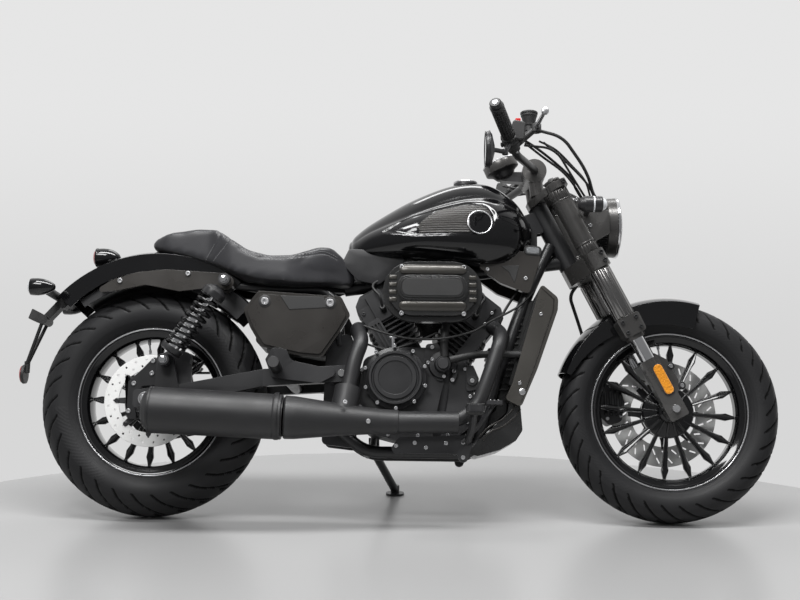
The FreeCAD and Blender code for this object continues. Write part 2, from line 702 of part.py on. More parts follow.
def build_swingarm():
    axle = tail(0, 0, 0)
    bend_x = pivot_x - 209
    arm = plate([(rear_x - 34, rear_z + 24, 12), (rear_x + 60, rear_z + 34, 20), (bend_x, pivot_z + 9, 40),
                 (pivot_x + 22, pivot_z + 22, 20), (pivot_x + 22, pivot_z - 22, 20),
                 (bend_x, pivot_z - 37, 40),
                 (rear_x + 40, rear_z - 24, 20), (rear_x - 34, rear_z - 24, 12)], -arm_inner, -arm_outer)
    foot = V(shock_foot_x, 0, shock_foot_z)
    tab = plate([(-30, rear_z + 20 - foot.z, 0), (40, rear_z + 20 - foot.z, 0), (18, 18, 16),
                 (-18, 18, 16)],
                -arm_outer + 10, -arm_outer - 2, foot)
    stud = rod(foot - Y * (arm_outer - 6), foot - Y * (shock_y + 14), stud_r)
    boss = rod(axle + V(spool_ahead, -arm_outer + 2, 8), axle + V(spool_ahead, -arm_outer - 6, 8), 13)
    hole = rod(axle + V(spool_ahead, -arm_outer + spool_depth - 6, 8),
               axle + V(spool_ahead, -arm_outer - 8, 8),
               spool_hole_r)
    side = fused(arm, tab, stud, boss).cut(hole)
    cross_x = rear_x + rear_tyre_r + 70
    cross = rod(V(cross_x, -arm_outer + 6, 372), V(cross_x, arm_outer - 6, 372), 18)
    tube = rod(V(pivot_x, -arm_inner - 1, pivot_z), V(pivot_x, -plate_outer, pivot_z), 17)
    arms = fused(side, mirrored(side), cross, tube, mirrored(tube))
    bore = rod(V(rear_x, -200, rear_z), V(rear_x, 200, rear_z), axle_r)
    bolt_bore = rod(V(pivot_x, -200, pivot_z), V(pivot_x, 200, pivot_z), pivot_r)
    add("swingarm", arms.cut([bore, bolt_bore]))
    bolt = rod(V(pivot_x, -arm_outer - 6, pivot_z), V(pivot_x, arm_outer + 6, pivot_z), pivot_r)
    add("pivot_bolt", bolt)


def build_shocks():
    top = V(shock_top_x, -shock_y, shock_top_z)
    foot = V(shock_foot_x, -shock_y, shock_foot_z)
    axis = top - foot
    length = axis.Length
    eye_top = rod(top - Y * 13, top + Y * 13, eye_r)
    eye_foot = rod(foot - Y * 13, foot + Y * 13, eye_r)
    body = turned([(10, 0), (10, 12), (24, 30), (32, 30), (32, 20), (0.55 * length, 20), (0.55 * length, 9),
                   (length - 34, 9), (length - 34, 32), (length - 24, 32), (length - 12, 14),
                   (length - 12, 0)],
                  foot, axis)
    studs = [rod(top - Y * 30, top + Y * 30, stud_r), rod(foot - Y * 30, foot + Y * 30, stud_r)]
    add("shock_dampers", pair(fused(eye_top, eye_foot, body).cut(studs)))
    start = 32.2
    turns = 8
    pitch = (length - 34.2 - start) / turns
    profile = [(start, 21)]
    for i in range(turns):
        a = start + i * pitch
        profile += [(a, shock_coil_r - 7), (a + 0.3 * pitch, shock_coil_r), (a + 0.6 * pitch, shock_coil_r),
                    (a + 0.9 * pitch, shock_coil_r - 7)]
    profile += [(length - 34.2, shock_coil_r - 7), (length - 34.2, 21)]
    add("shock_springs", pair(turned(profile, foot, axis)))


# ---- engine ----
def bank(tilt_deg):
    """Finned barrel and head standing on the crankcase, leaned forward by tilt_deg."""
    base = V(crank_x, 0, crank_z)
    head_z = barrel_start + fin_count * fin_pitch
    outward = 1 if tilt_deg > 0 else -1
    parts = [Part.makeCylinder(barrel_r, fin_count * fin_pitch + 40, base + Z * (barrel_start - 40), Z)]
    for i in range(fin_count):
        z = crank_z + barrel_start + i * fin_pitch
        parts.append(sheet([(crank_x - fin_half, -fin_half, 16), (crank_x + fin_half, -fin_half, 16),
                            (crank_x + fin_half, fin_half, 16), (crank_x - fin_half, fin_half, 16)], z,
                            z + fin_t))
    parts.append(plate([(-58, head_z, 4), (58, head_z, 4), (58, head_z + head_h, 8),
                        (-58, head_z + head_h, 8)],
                       -66, 66, base))
    # cam cover with a raised rib either side
    parts.append(plate([(-60, head_z + head_h - 6, 0), (60, head_z + head_h - 6, 0),
                        (58, head_z + head_h + 16, 10),
                        (34, head_z + head_h + 36, 12), (-34, head_z + head_h + 36, 12),
                        (-58, head_z + head_h + 16, 10)], -58, 58, base))
    parts.append(plate([(-24, head_z + 6, 4), (24, head_z + 6, 4), (24, head_z + head_h + 28, 6),
                        (-24, head_z + head_h + 28, 6)], -72, 72, base))
    # side plates over the barrel, towards the outer side of the vee
    foot = outward * 16
    side = outward * 54
    parts.append(plate([(foot, barrel_start - 12, 6), (side, barrel_start - 12, 6), (side, head_z + 18, 6),
                        (foot, head_z + 18, 6)], -fin_half - 10, fin_half + 10, base))
    shape = fused(*parts)
    grooves = [plate([(x, barrel_start - 2, 2.4), (x + 6, barrel_start - 2, 2.4), (x + 6, head_z + 6, 2.4),
                      (x, head_z + 6, 2.4)], -fin_half - 11, -fin_half - 5, base)
               for x in (outward * 35 - 13, outward * 35 - 3, outward * 35 + 7)]
    if outward < 0:
        shape = shape.cut(grooves)
    shape.rotate(base, Y, tilt_deg)
    return shape


def build_engine():
    case = plate([(-148, 300, 20), (-120, 232, 24), (-50, 214, 20), (110, 214, 24), (164, 250, 24),
                  (172, 330, 24),
                  (150, 420, 24), (84, 462, 20), (-52, 462, 20), (-128, 430, 24)], -case_right, case_left)
    lug = plate([(149, 409, 8), (165, 417, 8), (190, 352, 10), (149, 342, 8)], -case_right - 6,
                -case_right + 12)
    boss = rod(V(165, -case_right - 10, 372), V(165, -case_right, 372), 13)
    front_bank = bank(front_bank_deg)
    rear_bank = bank(-rear_bank_deg)
    frame = nodes["frame"]
    case = fused(case, lug, boss)
    rear_bank = rear_bank.cut([front_bank, case, frame])
    front_bank = front_bank.cut([case, frame])
    add("crankcase", biggest(case.cut([frame, nodes["front_pulley"]])))
    add("cylinders", Part.makeCompound([biggest(front_bank), biggest(rear_bank)]))
    y = case_right
    # out from the case, radius: base, body, raised ring, groove, disc, sunk middle
    clutch = turned([(y, 0), (y, clutch_r + 4), (y + 22, clutch_r + 4), (y + 27, clutch_r - 6),
                     (y + 34, clutch_r - 8),
                     (y + 34, clutch_r - 14), (y + 29, clutch_r - 16), (y + 29, clutch_r - 20),
                     (y + 33, clutch_r - 22), (y + 33, clutch_r - 33), (y + 31, clutch_r - 34),
                     (y + 31, 0)],
                    V(clutch_x, 0, clutch_z), -Y)
    pump = turned([(y, 0), (y, 40), (y + 16, 36), (y + 18, 24), (y + 34, 20), (y + 34, 15), (y + 42, 14),
                   (y + 42, 0)],
                  V(pump_x, 0, pump_z), -Y)
    flange = plate([(40, 470, 10), (70, 474, 10), (128, 400, 12), (118, 368, 12), (70, 372, 16),
                    (34, 430, 12)],
                   -case_right - 8, -case_right)
    left = turned([(case_left, 0), (case_left, 92), (case_left + 44, 84, 14), (case_left + 50, 40, 8),
                   (case_left + 50, 0)], V(70, 0, 340), Y)
    cover_y = belt_y + belt_w / 2 + 5
    shield = plate([(-150, 300, 30), (-40, 290, 20), (-14, 330, 20), (-30, 400, 30), (-150, 410, 30)],
                   cover_y, cover_y + 14)
    bridge = plate([(-36, 300, 0), (-16, 300, 0), (-14, 400, 0), (-36, 400, 0)], case_left, cover_y + 1)
    drive_cover = fused(shield, bridge).cut([left])
    right = fused(pump, flange).cut([clutch, frame])
    add("engine_covers", Part.makeCompound([clutch.cut(frame), biggest(right), left]))
    add("drive_cover", drive_cover.cut([nodes["drive_belt"], nodes["front_pulley"], nodes["swingarm"]]))


def stadium(x, z, length, height, y0, y1):
    half = length / 2
    r = height / 2 - 1
    return plate([(x - half, z - height / 2, r), (x + half, z - height / 2, r),
                  (x + half, z + height / 2, r),
                  (x - half, z + height / 2, r)], y0, y1)


def build_air_cleaner():
    x = 56.0
    z = 605.0
    # length, height, inner and outer face
    layers = [(266, 165, -162, -150), (250, 149, -166, -162), (266, 165, -174, -166),
              (230, 129, -178, -174),
              (236, 135, -190, -178), (188, 66, -196, -190)]
    body = fused(*[stadium(x, z, *layer) for layer in layers])
    plenum = rod(V(x, -150, z), V(x, 150, z), 48)
    hanger = box(x - 14, x + 14, -14, 14, z + 30, spine_z(x))
    body = fused(body, mirrored(body), plenum, hanger)
    add("air_cleaner", biggest(body.cut([nodes["cylinders"], nodes["frame"]])))


def build_exhaust():
    pipe_front = bent([V(208, -40, 536), V(244, -84, 512), V(240, -142, 478), V(210, -158, 386),
                       V(176, -160, 296),
                       V(120, -164, 258), V(0, -172, 254), V(-70, -176, 254)], header_r)
    pipe_rear = bent([V(-140, -40, 520), V(-150, -80, 515), V(-132, -138, 476), V(-152, -154, 420),
                      V(-164, -162, 350), V(-176, -176, 300)], header_r + 1)
    collector = rod(V(126, -164, 256), V(-40, -174, 254), collector_r - 2)
    tee = rod(V(-166, -158, 344), V(-178, -178, 268), 36)
    start = V(-32, -172, 254)
    shield_end = V(muffler_front_x + 8, muffler_y + 4, 262)
    along = shield_end - start
    shield = turned([(0, 0), (0, collector_r + 1, 2), (50, collector_r + 2, 40),
                     (150, collector_r + 11, 200),
                     (along.Length - 30, muffler_r - 5, 40), (along.Length, muffler_r - 4, 4),
                     (along.Length, 0)],
                    start, along)
    pipes = fused(pipe_front, pipe_rear, collector, shield, tee)
    end = V(muffler_rear_x, muffler_y, muffler_z + 8)
    begin = shield_end + along.normalize() * 1.0
    length = (end - begin).Length
    body = turned([(0, 0), (0, muffler_r - 10), (3, muffler_r - 10), (3, muffler_r - 2, 2),
                   (length - 20, muffler_r, 14),
                   (length, muffler_r - 18, 6), (length, 30), (length - 30, 30), (length - 30, 0)], begin,
                   end - begin)
    cutters = [nodes[n] for n in ("cylinders", "crankcase", "engine_covers", "frame", "swingarm",
                                  "air_cleaner",
                                  "pivot_bolt", "battery_box", "side_covers")]
    pipes = pipes.cut([body] + cutters)
    add("exhaust_pipes", biggest(pipes))
    add("muffler", body.cut(nodes["swingarm"]))


def build_tank():
    # x, floor z, half width at the floor, z of the widest line, half width there, shoulder z,
    # half width at the shoulder, top z
    sections = [(-176, 716, 34, 736, 52, 752, 44, 772),
                (-110, 708, 62, 744, 92, 792, 70, 832),
                (0, 708, 92, 756, 132, 836, 92, 898),
                (120, 706, 112, 772, 150, 876, 92, 944),
                (215, 700, 104, 780, 146, 886, 84, 944),
                (290, 716, 74, 790, 116, 860, 66, 896),
                (328, 760, 30, 796, 66, 822, 40, 838)]
    wires = []
    for x, z0, w0, zm, wm, z1, w1, top in sections:
        edges = [Part.LineSegment(V(x, -w0, z0), V(x, w0, z0)).toShape(),
                 Part.Arc(V(x, w0, z0), V(x, wm, zm), V(x, w1, z1)).toShape(),
                 Part.Arc(V(x, w1, z1), V(x, 0, top), V(x, -w1, z1)).toShape(),
                 Part.Arc(V(x, -w1, z1), V(x, -wm, zm), V(x, -w0, z0)).toShape()]
        wires.append(Part.Wire(edges))
    tank = Part.makeLoft(wires, True, False)
    side = backbone_r + 8
    high = max(spine_z(450), 690) + side + 24
    tunnel = plate([(450, 600, 0), (450, high, 0), (-60, spine_z(-60) + side, 0), (-60, 600, 0)], -side,
                   side)
    tank = tank.cut(tunnel)
    cap = turned([(0, 0), (0, 34), (24, 34, 4), (24, 0)], V(150, 0, 930), Z)
    add("fuel_tank", tank)
    add("filler_cap", cap.cut(tank))
    rest = box(-130, -96, -24, 24, spine_z(-113), 714)
    rests = [box(200, 240, y - 11, y + 11, spine_z(220), 730) for y in (-29, 29)]
    bridge = box(200, 240, -40, 40, spine_z(220) - 8, spine_z(220) + 8)
    frame = fused(nodes["frame"], rest.cut(tank), bridge.cut(tank), *[biggest(r.cut(tank)) for r in rests])
    add("frame", frame)


def build_rear_fender():
    centre = on_fender(0, -rear_fender_r)
    half = rear_fender_half
    r = rear_fender_r

    def arch(top, w, shoulder, foot):
        edges = [Part.LineSegment(centre + V(0, -w, foot), centre + V(0, -w, shoulder)).toShape(),
                 Part.Arc(centre + V(0, -w, shoulder), centre + V(0, 0, top),
                          centre + V(0, w, shoulder)).toShape(),
                 Part.LineSegment(centre + V(0, w, shoulder), centre + V(0, w, foot)).toShape(),
                 Part.LineSegment(centre + V(0, w, foot), centre + V(0, -w, foot)).toShape()]
        return Part.Face(Part.Wire(edges))

    outer = arch(r, half, r - 18, r - 66)
    space = arch(r - fender_t, half - fender_t, r - 18 - fender_t, r - 67)
    section = outer.cut(space)
    section.rotate(centre, Y, 38)
    shell = section.revolve(centre, Y * -1, 86)
    filled = arch(r + 1, half + 1, r - 17, r - 80)
    filled.rotate(centre, Y, 38)
    add("rear_fender", shell)
    add("frame", biggest(nodes["frame"].cut(shell)))
    spaces["fender"] = filled.revolve(centre, Y * -1, 86)


def build_struts():
    bar = plate([(-173, 292, 8), (-117, 329, 20), (-50, 352, 30), (32, 361, 20), (198, 352, 10),
                 (225, 328, 16),
                 (211, 294, 14), (151, 310, 30), (71, 300, 30), (-21, 318, 30), (-102, 300, 20)],
                -rear_fender_half, -rear_fender_half - strut_t, tail(0, 0, 0))
    top = V(shock_top_x, 0, shock_top_z)
    stud = rod(top - Y * rear_fender_half, top - Y * (shock_y + 14), stud_r)
    boss = rod(top - Y * rear_fender_half, top - Y * (shock_y - 36), 20)
    link = strap(V(shock_top_x - 20, -seat_rail_y, seat_rail_z + 14), top - Y * rear_fender_half, 24, 12, X)
    strut = fused(bar, boss, stud, link).cut([nodes["rear_fender"], nodes["frame"]])
    add("rear_struts", pair(biggest(strut)))


def build_seat():
    side = plate([(-736, 740, 8), (-722, 762, 12), (-680, 777, 40), (-600, 787, 60), (-540, 782, 30),
                  (-500, 754, 40),
                  (-450, 722, 60), (-390, 706, 90), (-330, 708, 60), (-262, 734, 40), (-222, 740, 20),
                  (-194, 720, 20),
                  (-154, 672, 10), (-166, 640, 6), (-320, 630, 60), (-409, 638, 60), (-469, 653, 30),
                  (-553, 691, 40),
                  (-628, 716, 60)], -170, 170)
    plan = sheet([(-746, -60, 40), (-690, -96, 60), (-560, -112, 60), (-500, -136, 60), (-340, -150, 90),
                  (-240, -120, 60), (-158, -62, 30), (-158, 62, 30), (-240, 120, 60), (-340, 150, 90),
                  (-500, 136, 60), (-560, 112, 60), (-690, 96, 60), (-746, 60, 40)], 500, 900)
    seat = side.common(plan)
    seat = seat.cut([spaces["fender"], nodes["frame"], nodes["fuel_tank"], nodes["rear_struts"]])
    add("seat", biggest(seat))


def build_side():
    block = plate([(-424, 470, 12), (-240, 446, 12), (-206, 500, 12), (-206, 600, 10), (-424, 608, 10)],
                  -box_half, box_half)
    shell = block.cut([nodes["frame"], nodes["cylinders"], nodes["swingarm"]])
    add("battery_box", biggest(shell))
    edge = [(-416, 608, 10), (-455, 556, 12), (-435, 507, 16), (-403, 455, 14), (-300, 432, 14),
            (-239, 427, 14), (-192, 498, 20), (-166, 545, 12), (-191, 594, 12)]
    middle = V(sum(c[0] for c in edge) / len(edge), 0, sum(c[1] for c in edge) / len(edge))
    face = [(middle.x + (a - middle.x) * 0.93, middle.z + (b - middle.z) * 0.90, r) for a, b, r in edge]
    cover = fused(plate(edge, cover_t - cover_outer, 6 - cover_outer),
                  plate(face, 6 - cover_outer, -cover_outer))
    bosses = [rod(V(x, cover_t - cover_outer, z), V(x, -box_half, z), 12) for x,
              z in ((-397, 560), (-230, 560))]
    add("side_covers", pair(fused(cover, *bosses)))


def build_front_covers():
    neck = plate([(180, 693, 6), (271, 726, 20), (296, 737, 10), (357, 724, 10), (323, 616, 10),
                  (244, 646, 20)],
                 -92, -72)
    add("neck_covers", pair(neck.cut([nodes["fuel_tank"], nodes["frame"]])))
    core = plate([(340, 612, 0), (376, 596, 0), (300, 350, 0), (264, 366, 0)], -98, 98)
    core = core.cut(nodes["frame"])
    shroud = plate([(352, 639, 8), (398, 600, 20), (396, 566, 20), (340, 405, 30), (296, 302, 10),
                    (253, 323, 10),
                    (272, 364, 30)], -128, 128)
    hollow = plate([(290, 628, 0), (440, 566, 0), (380, 318, 0), (220, 354, 0)], -98, 98)
    shroud = shroud.cut([hollow, nodes["frame"], nodes["exhaust_pipes"]])
    add("radiator_cover", biggest(shroud))
    add("radiator", biggest(core.cut(nodes["radiator_cover"])))
    pan = plate([(268, 330, 6), (296, 312, 8), (302, 242, 14), (284, 214, 12), (241, 189, 20),
                 (182, 172, 8),
                 (150, 178, 6), (186, 216, 14), (230, 256, 20), (262, 290, 12)], -96, 96)
    pan = pan.cut([nodes["frame"], nodes["radiator_cover"], nodes["radiator"], nodes["crankcase"],
                   nodes["exhaust_pipes"]])
    add("belly_pan", biggest(pan))


# ---- tail, pegs and controls ----
def build_hoses():
    feed = bent([V(pump_x + 18, -146, pump_z + 10), V(150, -142, 436), V(200, -108, 446),
                 V(304, -108, 446)], 10, 0.45, 16)
    rise = bent([V(pump_x + 4, -134, pump_z + 20), V(88, -136, 480), V(96, -116, 530), V(104, -60, 560)],
                11, 0.45, 16)
    cutters = [nodes[n] for n in ("engine_covers", "crankcase", "cylinders", "radiator_cover", "radiator",
                                  "exhaust_pipes", "air_cleaner", "frame")]
    add("coolant_hoses", Part.makeCompound([biggest(h.cut(cutters)) for h in (feed, rise)]))


def build_tail():
    crown = on_fender(lamp_deg)
    lamp = turned([(0, 0), (0, 24, 3), (60, 26, 10), (86, 12, 8), (86, 0)],
                  on_fender(lamp_deg, 20) - X * 52, X)
    foot = box(crown.x - 36, crown.x + 8, -12, 12, crown.z - 16, crown.z + 10)
    add("tail_lamp", biggest(fused(lamp, foot).cut([spaces["fender"]])))
    tip = on_fender(bracket_deg, -6)
    knuckle = tip + V(-60, 0, -76)
    arm = strap(tip + V(26, 0, 22), knuckle, 34, 20, V(-0.8, 0, 0.6))
    plinth = plate([(-34, -30, 4), (14, 22, 4), (40, 30, 4), (40, 4, 4), (-6, -44, 6)], -17, 17, tip)
    beam_at = tip + V(-28, 0, -8)
    beam = rod(beam_at - Y * (rear_signal_y - 10), beam_at + Y * (rear_signal_y - 10), 12)
    joint = rod(knuckle - Y * 30, knuckle + Y * 30, 13)
    lamp_box = plate([(-44, 4, 3), (-34, 32, 3), (-6, 18, 3), (-10, -10, 3)], -20, 20, knuckle)
    foot_y = 4
    low = knuckle + V(-44, 0, -122)
    rods = [rod(knuckle + Y * side * 24, low + Y * side * foot_y, 5) for side in (-1, 1)]
    stem = rod(low + Z * 6, low - Z * 26, 8)
    reflector = turned([(-6, 0), (-6, 26), (3, 27, 2), (3, 0)], low + V(-8, 0, -30), V(-1, 0, 0))
    bracket = fused(arm, plinth, beam, joint, lamp_box, *rods, stem, reflector)
    add("plate_bracket", biggest(bracket.cut([nodes["rear_fender"]])))
    bullet = turned([(-36, 0), (-36, signal_r - 3), (-34, signal_r, 2), (14, signal_r, 8), (34, 12, 8),
                     (38, 0)],
                    beam_at - Y * rear_signal_y, X)
    add("rear_signals", pair(bullet.cut(nodes["plate_bracket"])))


def build_pegs():
    hanger = plate([(-391, 420, 6), (-373, 452, 10), (-336, 452, 10), (-322, 418, 20), (-243, 402, 40),
                    (-206, 404, 12), (-202, 380, 12), (-243, 358, 40), (-330, 366, 20), (-372, 372, 16)],
                   -arm_outer - 4, -arm_outer - 14)
    arm = box(-388, -340, -arm_outer - 6, -box_half + 1, 440, 462)
    peg = rod(V(-360, -arm_outer - 8, 396), V(-360, -232, 404), 15)
    side = fused(hanger, arm, peg)
    right = side.cut([nodes["muffler"], nodes["exhaust_pipes"], nodes["battery_box"], nodes["side_covers"],
                      nodes["swingarm"], nodes["pivot_bolt"]])
    left = mirrored(side).cut([nodes["battery_box"], nodes["side_covers"], nodes["swingarm"],
                               nodes["pivot_bolt"]])
    add("passenger_pegs", Part.makeCompound([biggest(right), biggest(left)]))
    control = plate([(-52, 186, 14), (-30, 216, 14), (150, 224, 10), (166, 200, 14), (150, 152, 12),
                     (130, 152, 12),
                     (126, 174, 10), (-40, 174, 10)], -150, -140)
    spacers = [rod(V(x, -141, rail_z + 2), V(x, -rail_y, rail_z + 2), 9) for x in (-20, 120)]
    peg_arm = bent([V(150, -144, 204), V(164, -190, 240), V(164, -240, 278), V(164, -330, 280)], 10, 0.45,
                   12)
    rubber = sheet([(142, -330, 8), (186, -330, 8), (186, -250, 8), (142, -250, 8)], 271, 289)
    lever = bent([V(136, -152, 205), V(176, -160, 240), V(214, -180, 296), V(216, -230, 300)], 6, 0.45, 12)
    pad = box(196, 236, -262, -224, 296, 306)
    side = fused(control, *spacers, peg_arm, rubber, lever, pad)
    right = side.cut([nodes["exhaust_pipes"], nodes["frame"], nodes["belly_pan"]])
    left = mirrored(side).cut([nodes["frame"], nodes["belly_pan"], nodes["engine_covers"]])
    add("foot_controls", Part.makeCompound([biggest(right), biggest(left)]))
    axle = tail(0, 0, 0)
    caliper = plate([(20, 66, 10), (84, 78, 10), (110, 96, 12), (112, 128, 12), (60, 140, 14),
                     (20, 116, 12)],
                    -rear_hub_half + 2, -arm_inner, axle)
    slot = turned([(-4, 0), (-4, rear_disc_r + 3), (carrier_t + 4, rear_disc_r + 3), (carrier_t + 4, 0)],
                  axle - Y * rear_hub_half, -Y)
    mount = plate([(56, 28, 8), (116, 28, 8), (116, 100, 8), (56, 100, 8)], -arm_inner + 8, -arm_inner,
                  axle)
    add("rear_caliper", biggest(fused(caliper.cut([slot]), mount)))


# ---- side stand ----
def up_in_frame():
    """The floor's upward direction as seen from the upright machine."""
    return V(0, -sin(lean), cos(lean))


def build_stand():
    up = up_in_frame()
    out = V(0, cos(lean), sin(lean))
    lift = tyre_crown_r * (1 - cos(lean))
    foot = V(stand_foot_x, 0, 0) + out * stand_foot_y - up * lift
    leg = rod(stand_pivot, foot + up * (foot_t + 8), stand_leg_r)
    pad = rod(foot, foot + up * foot_t, foot_r)
    along = (foot - stand_pivot).normalize()
    rear = V(-0.95, 0.25, -0.05).normalize()
    axis = along.cross(rear).normalize()
    half = stand_leg_r
    hub = rod(stand_pivot - axis * half, stand_pivot + axis * half, 18)
    neck = rod(foot + up * foot_t, foot + up * (foot_t + 22), 13)
    stand = fused(leg, pad, hub, neck)
    pin_r = 6.0
    stand = stand.cut(rod(stand_pivot - axis * 30, stand_pivot + axis * 30, pin_r + running_gap))
    add("side_stand", stand)
    ear_t = 7.0
    ear_at = half + 1 + ear_t / 2
    inboard = V(0, -0.863, 0.505)
    inboard = (inboard - axis * inboard.dot(axis)).normalize()
    post = stand_pivot + inboard * 34
    pin = rod(stand_pivot - axis * (ear_at + 8), stand_pivot + axis * (ear_at + 8), pin_r)
    ears = []
    for side in (-1, 1):
        centre = stand_pivot + axis * (side * ear_at)
        ears.append(rod(centre - axis * (ear_t / 2), centre + axis * (ear_t / 2), 15))
        ears.append(strap(centre, post + axis * (side * ear_at), 30, ear_t, axis))
    column = rod(post - axis * (ear_at + ear_t / 2), post + axis * (ear_at + ear_t / 2), 10)
    link = rod(post - axis * 12, V(post.x, rail_y, rail_z), 11)
    frame = fused(nodes["frame"], pin, column, link, *ears)
    add("frame", frame)
    return axis, foot


BODIES = {
    "chassis": ["frame", "rear_struts", "rear_fender", "seat", "fuel_tank", "filler_cap", "neck_covers",
                "radiator",
                "radiator_cover", "belly_pan", "crankcase", "cylinders", "engine_covers", "drive_cover",
                "air_cleaner", "battery_box", "side_covers", "exhaust_pipes", "muffler", "swingarm",
                "pivot_bolt",
                "rear_axle", "shock_springs", "shock_dampers", "rear_caliper", "drive_belt", "front_pulley",
                "tail_lamp", "plate_bracket", "rear_signals", "passenger_pegs", "foot_controls",
                "coolant_hoses"],
    "steering": ["fork_legs", "triple_clamps", "risers", "handlebar", "grips", "hand_controls", "mirrors",
                 "headlamp", "headlamp_lens", "front_signals", "speedometer", "front_fender",
                 "front_caliper",
                 "front_axle", "cables", "brake_hose"],
    "front_wheel": ["front_wheel", "front_tyre", "front_disc"],
    "rear_wheel": ["rear_wheel", "rear_tyre", "rear_disc", "rear_pulley"],
    "side_stand": ["side_stand"]}

build_wheels()
build_axles()
build_drive()
build_fork()
build_handlebar()
build_lamps()
build_front_fender()
build_front_brake()
build_cables()
build_frame()
build_swingarm()
build_shocks()
build_engine()
build_air_cleaner()
build_side()
build_exhaust()
build_tank()
build_rear_fender()
build_struts()
build_seat()
build_front_covers()
build_hoses()
build_tail()
build_pegs()
stand_axis, stand_foot = build_stand()

# ---- lean the machine onto its stand and put the origin at the middle of its footprint ----
lift = tyre_crown_r * (1 - cos(lean))
for shape in nodes.values():
    shape.rotate(V(0, 0, 0), X, -lean_deg)
    shape.translate(V(0, 0, lift))
whole = Part.makeCompound(list(nodes.values())).optimalBoundingBox(False, False)
origin = V((whole.XMin + whole.XMax) / 2, (whole.YMin + whole.YMax) / 2, whole.ZMin)


def parked(point):
    """A point of the upright machine, where it lies when parked."""
    turned_point = V(point.x, point.y * cos(lean) + point.z * sin(lean),
                     -point.y * sin(lean) + point.z * cos(lean))
    return turned_point + V(0, 0, lift) - origin


# ---- each sub-component rides on one body ----
assert sorted(sum(BODIES.values(), [])) == sorted(nodes)

os.makedirs("parts", exist_ok=True)
for name, shape in nodes.items():
    shape.translate(-origin)
    shape.exportStep("parts/" + name + ".step")
print("size", [round(v, 1) for v in (whole.XLength, whole.YLength, whole.ZLength)], "origin", origin)
print("front wheel centre", parked(V(front_x, 0, front_z)), "rear wheel centre", parked(V(rear_x, 0, rear_z)))
print("stand pivot", parked(stand_pivot), "along", stand_axis, "foot", parked(stand_foot))
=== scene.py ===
import json
from math import atan2, cos, hypot, pi, radians, sin, sqrt

import bmesh
import bpy
from mathutils import Matrix, Vector
from mathutils.bvhtree import BVHTree


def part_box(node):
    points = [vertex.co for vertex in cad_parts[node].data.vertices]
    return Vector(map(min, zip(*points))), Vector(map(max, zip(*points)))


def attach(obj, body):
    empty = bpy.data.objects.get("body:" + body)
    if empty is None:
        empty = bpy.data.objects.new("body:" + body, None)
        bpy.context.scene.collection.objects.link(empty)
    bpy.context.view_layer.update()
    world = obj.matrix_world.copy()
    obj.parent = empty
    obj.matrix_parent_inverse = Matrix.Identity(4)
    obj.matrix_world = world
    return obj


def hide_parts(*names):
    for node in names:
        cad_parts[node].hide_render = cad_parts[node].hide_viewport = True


def V3(x, y, z):
    return Vector((x, y, z))


# A cruiser motorcycle on its side stand. Shapes are written in the upright machine's millimetres
# (X forward from the middle of the wheelbase, Y to its left, Z up) and placed by at().
LEAN = radians(14.0)
LIFT = 80.0 * (1 - cos(LEAN))
RAKE = radians(27.3)
FRONT = V3(711.0, 0.0, 303.0)
REAR = V3(-711.0, 0.0, 312.0)
FORK_UP = V3(-sin(RAKE), 0.0, cos(RAKE))
FORK_AHEAD = V3(cos(RAKE), 0.0, sin(RAKE))
X = V3(1, 0, 0)
Y = V3(0, 1, 0)
Z = V3(0, 0, 1)
CLAMP_TOP = 706.0   # up the fork, from the axle
FENDER_R = 388.0    # of the rear fender's crown

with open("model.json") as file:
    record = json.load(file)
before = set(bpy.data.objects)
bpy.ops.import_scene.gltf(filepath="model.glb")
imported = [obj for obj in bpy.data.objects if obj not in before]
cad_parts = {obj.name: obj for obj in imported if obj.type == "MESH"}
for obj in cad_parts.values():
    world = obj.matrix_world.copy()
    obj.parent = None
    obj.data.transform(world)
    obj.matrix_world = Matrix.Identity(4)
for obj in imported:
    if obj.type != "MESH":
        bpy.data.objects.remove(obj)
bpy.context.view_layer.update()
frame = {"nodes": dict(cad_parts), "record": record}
nodes = frame["nodes"]


def leaned(p):
    x, y, z = p
    return V3(x, y * cos(LEAN) + z * sin(LEAN), -y * sin(LEAN) + z * cos(LEAN) + LIFT)


# the row's origin in the same millimetres, from where the record puts the front wheel
spin = [j for j in frame["record"]["behaviour"]["joints"] if j["name"] == "front_wheel_spin"][0]
ORIGIN = leaned(FRONT) - Vector(spin["pos_m"]) * 1000


def at(p):
    """Upright machine's millimetres to the row frame's metres."""
    return (leaned(p) - ORIGIN) / 1000


def upright(q):
    """And back."""
    w = Vector(q) * 1000 + ORIGIN - Z * LIFT
    return V3(w.x, w.y * cos(LEAN) - w.z * sin(LEAN), w.y * sin(LEAN) + w.z * cos(LEAN))


def fork(up, ahead=0.0, y=0.0):
    return FRONT + FORK_UP * up + FORK_AHEAD * ahead + V3(0, y, 0)


BARS = fork(CLAMP_TOP + 60.4, -19.7)


def smooth(a, b, t):
    t = max(0.0, min(1.0, (t - a) / (b - a)))
    return t * t * (3 - 2 * t)


def curve(p0, p1, p2, p3, t):
    """Between p1 and p2 on a smooth curve through all four, which are numbers or vectors."""
    return 0.5 * (2 * p1 + (p2 - p0) * t + (2 * p0 - 5 * p1 + 4 * p2 - p3) * t * t
            + (3 * p1 - p0 - 3 * p2 + p3) * t * t * t)


def spline(points, steps=12):
    """Points along a smooth curve through the given ones."""
    pts = [Vector(p) for p in points]
    pts = [pts[0]] + pts + [pts[-1]]
    return [curve(*pts[i:i + 4], k / steps) for i in range(len(pts) - 3) for k in range(steps)] + [pts[-1]]


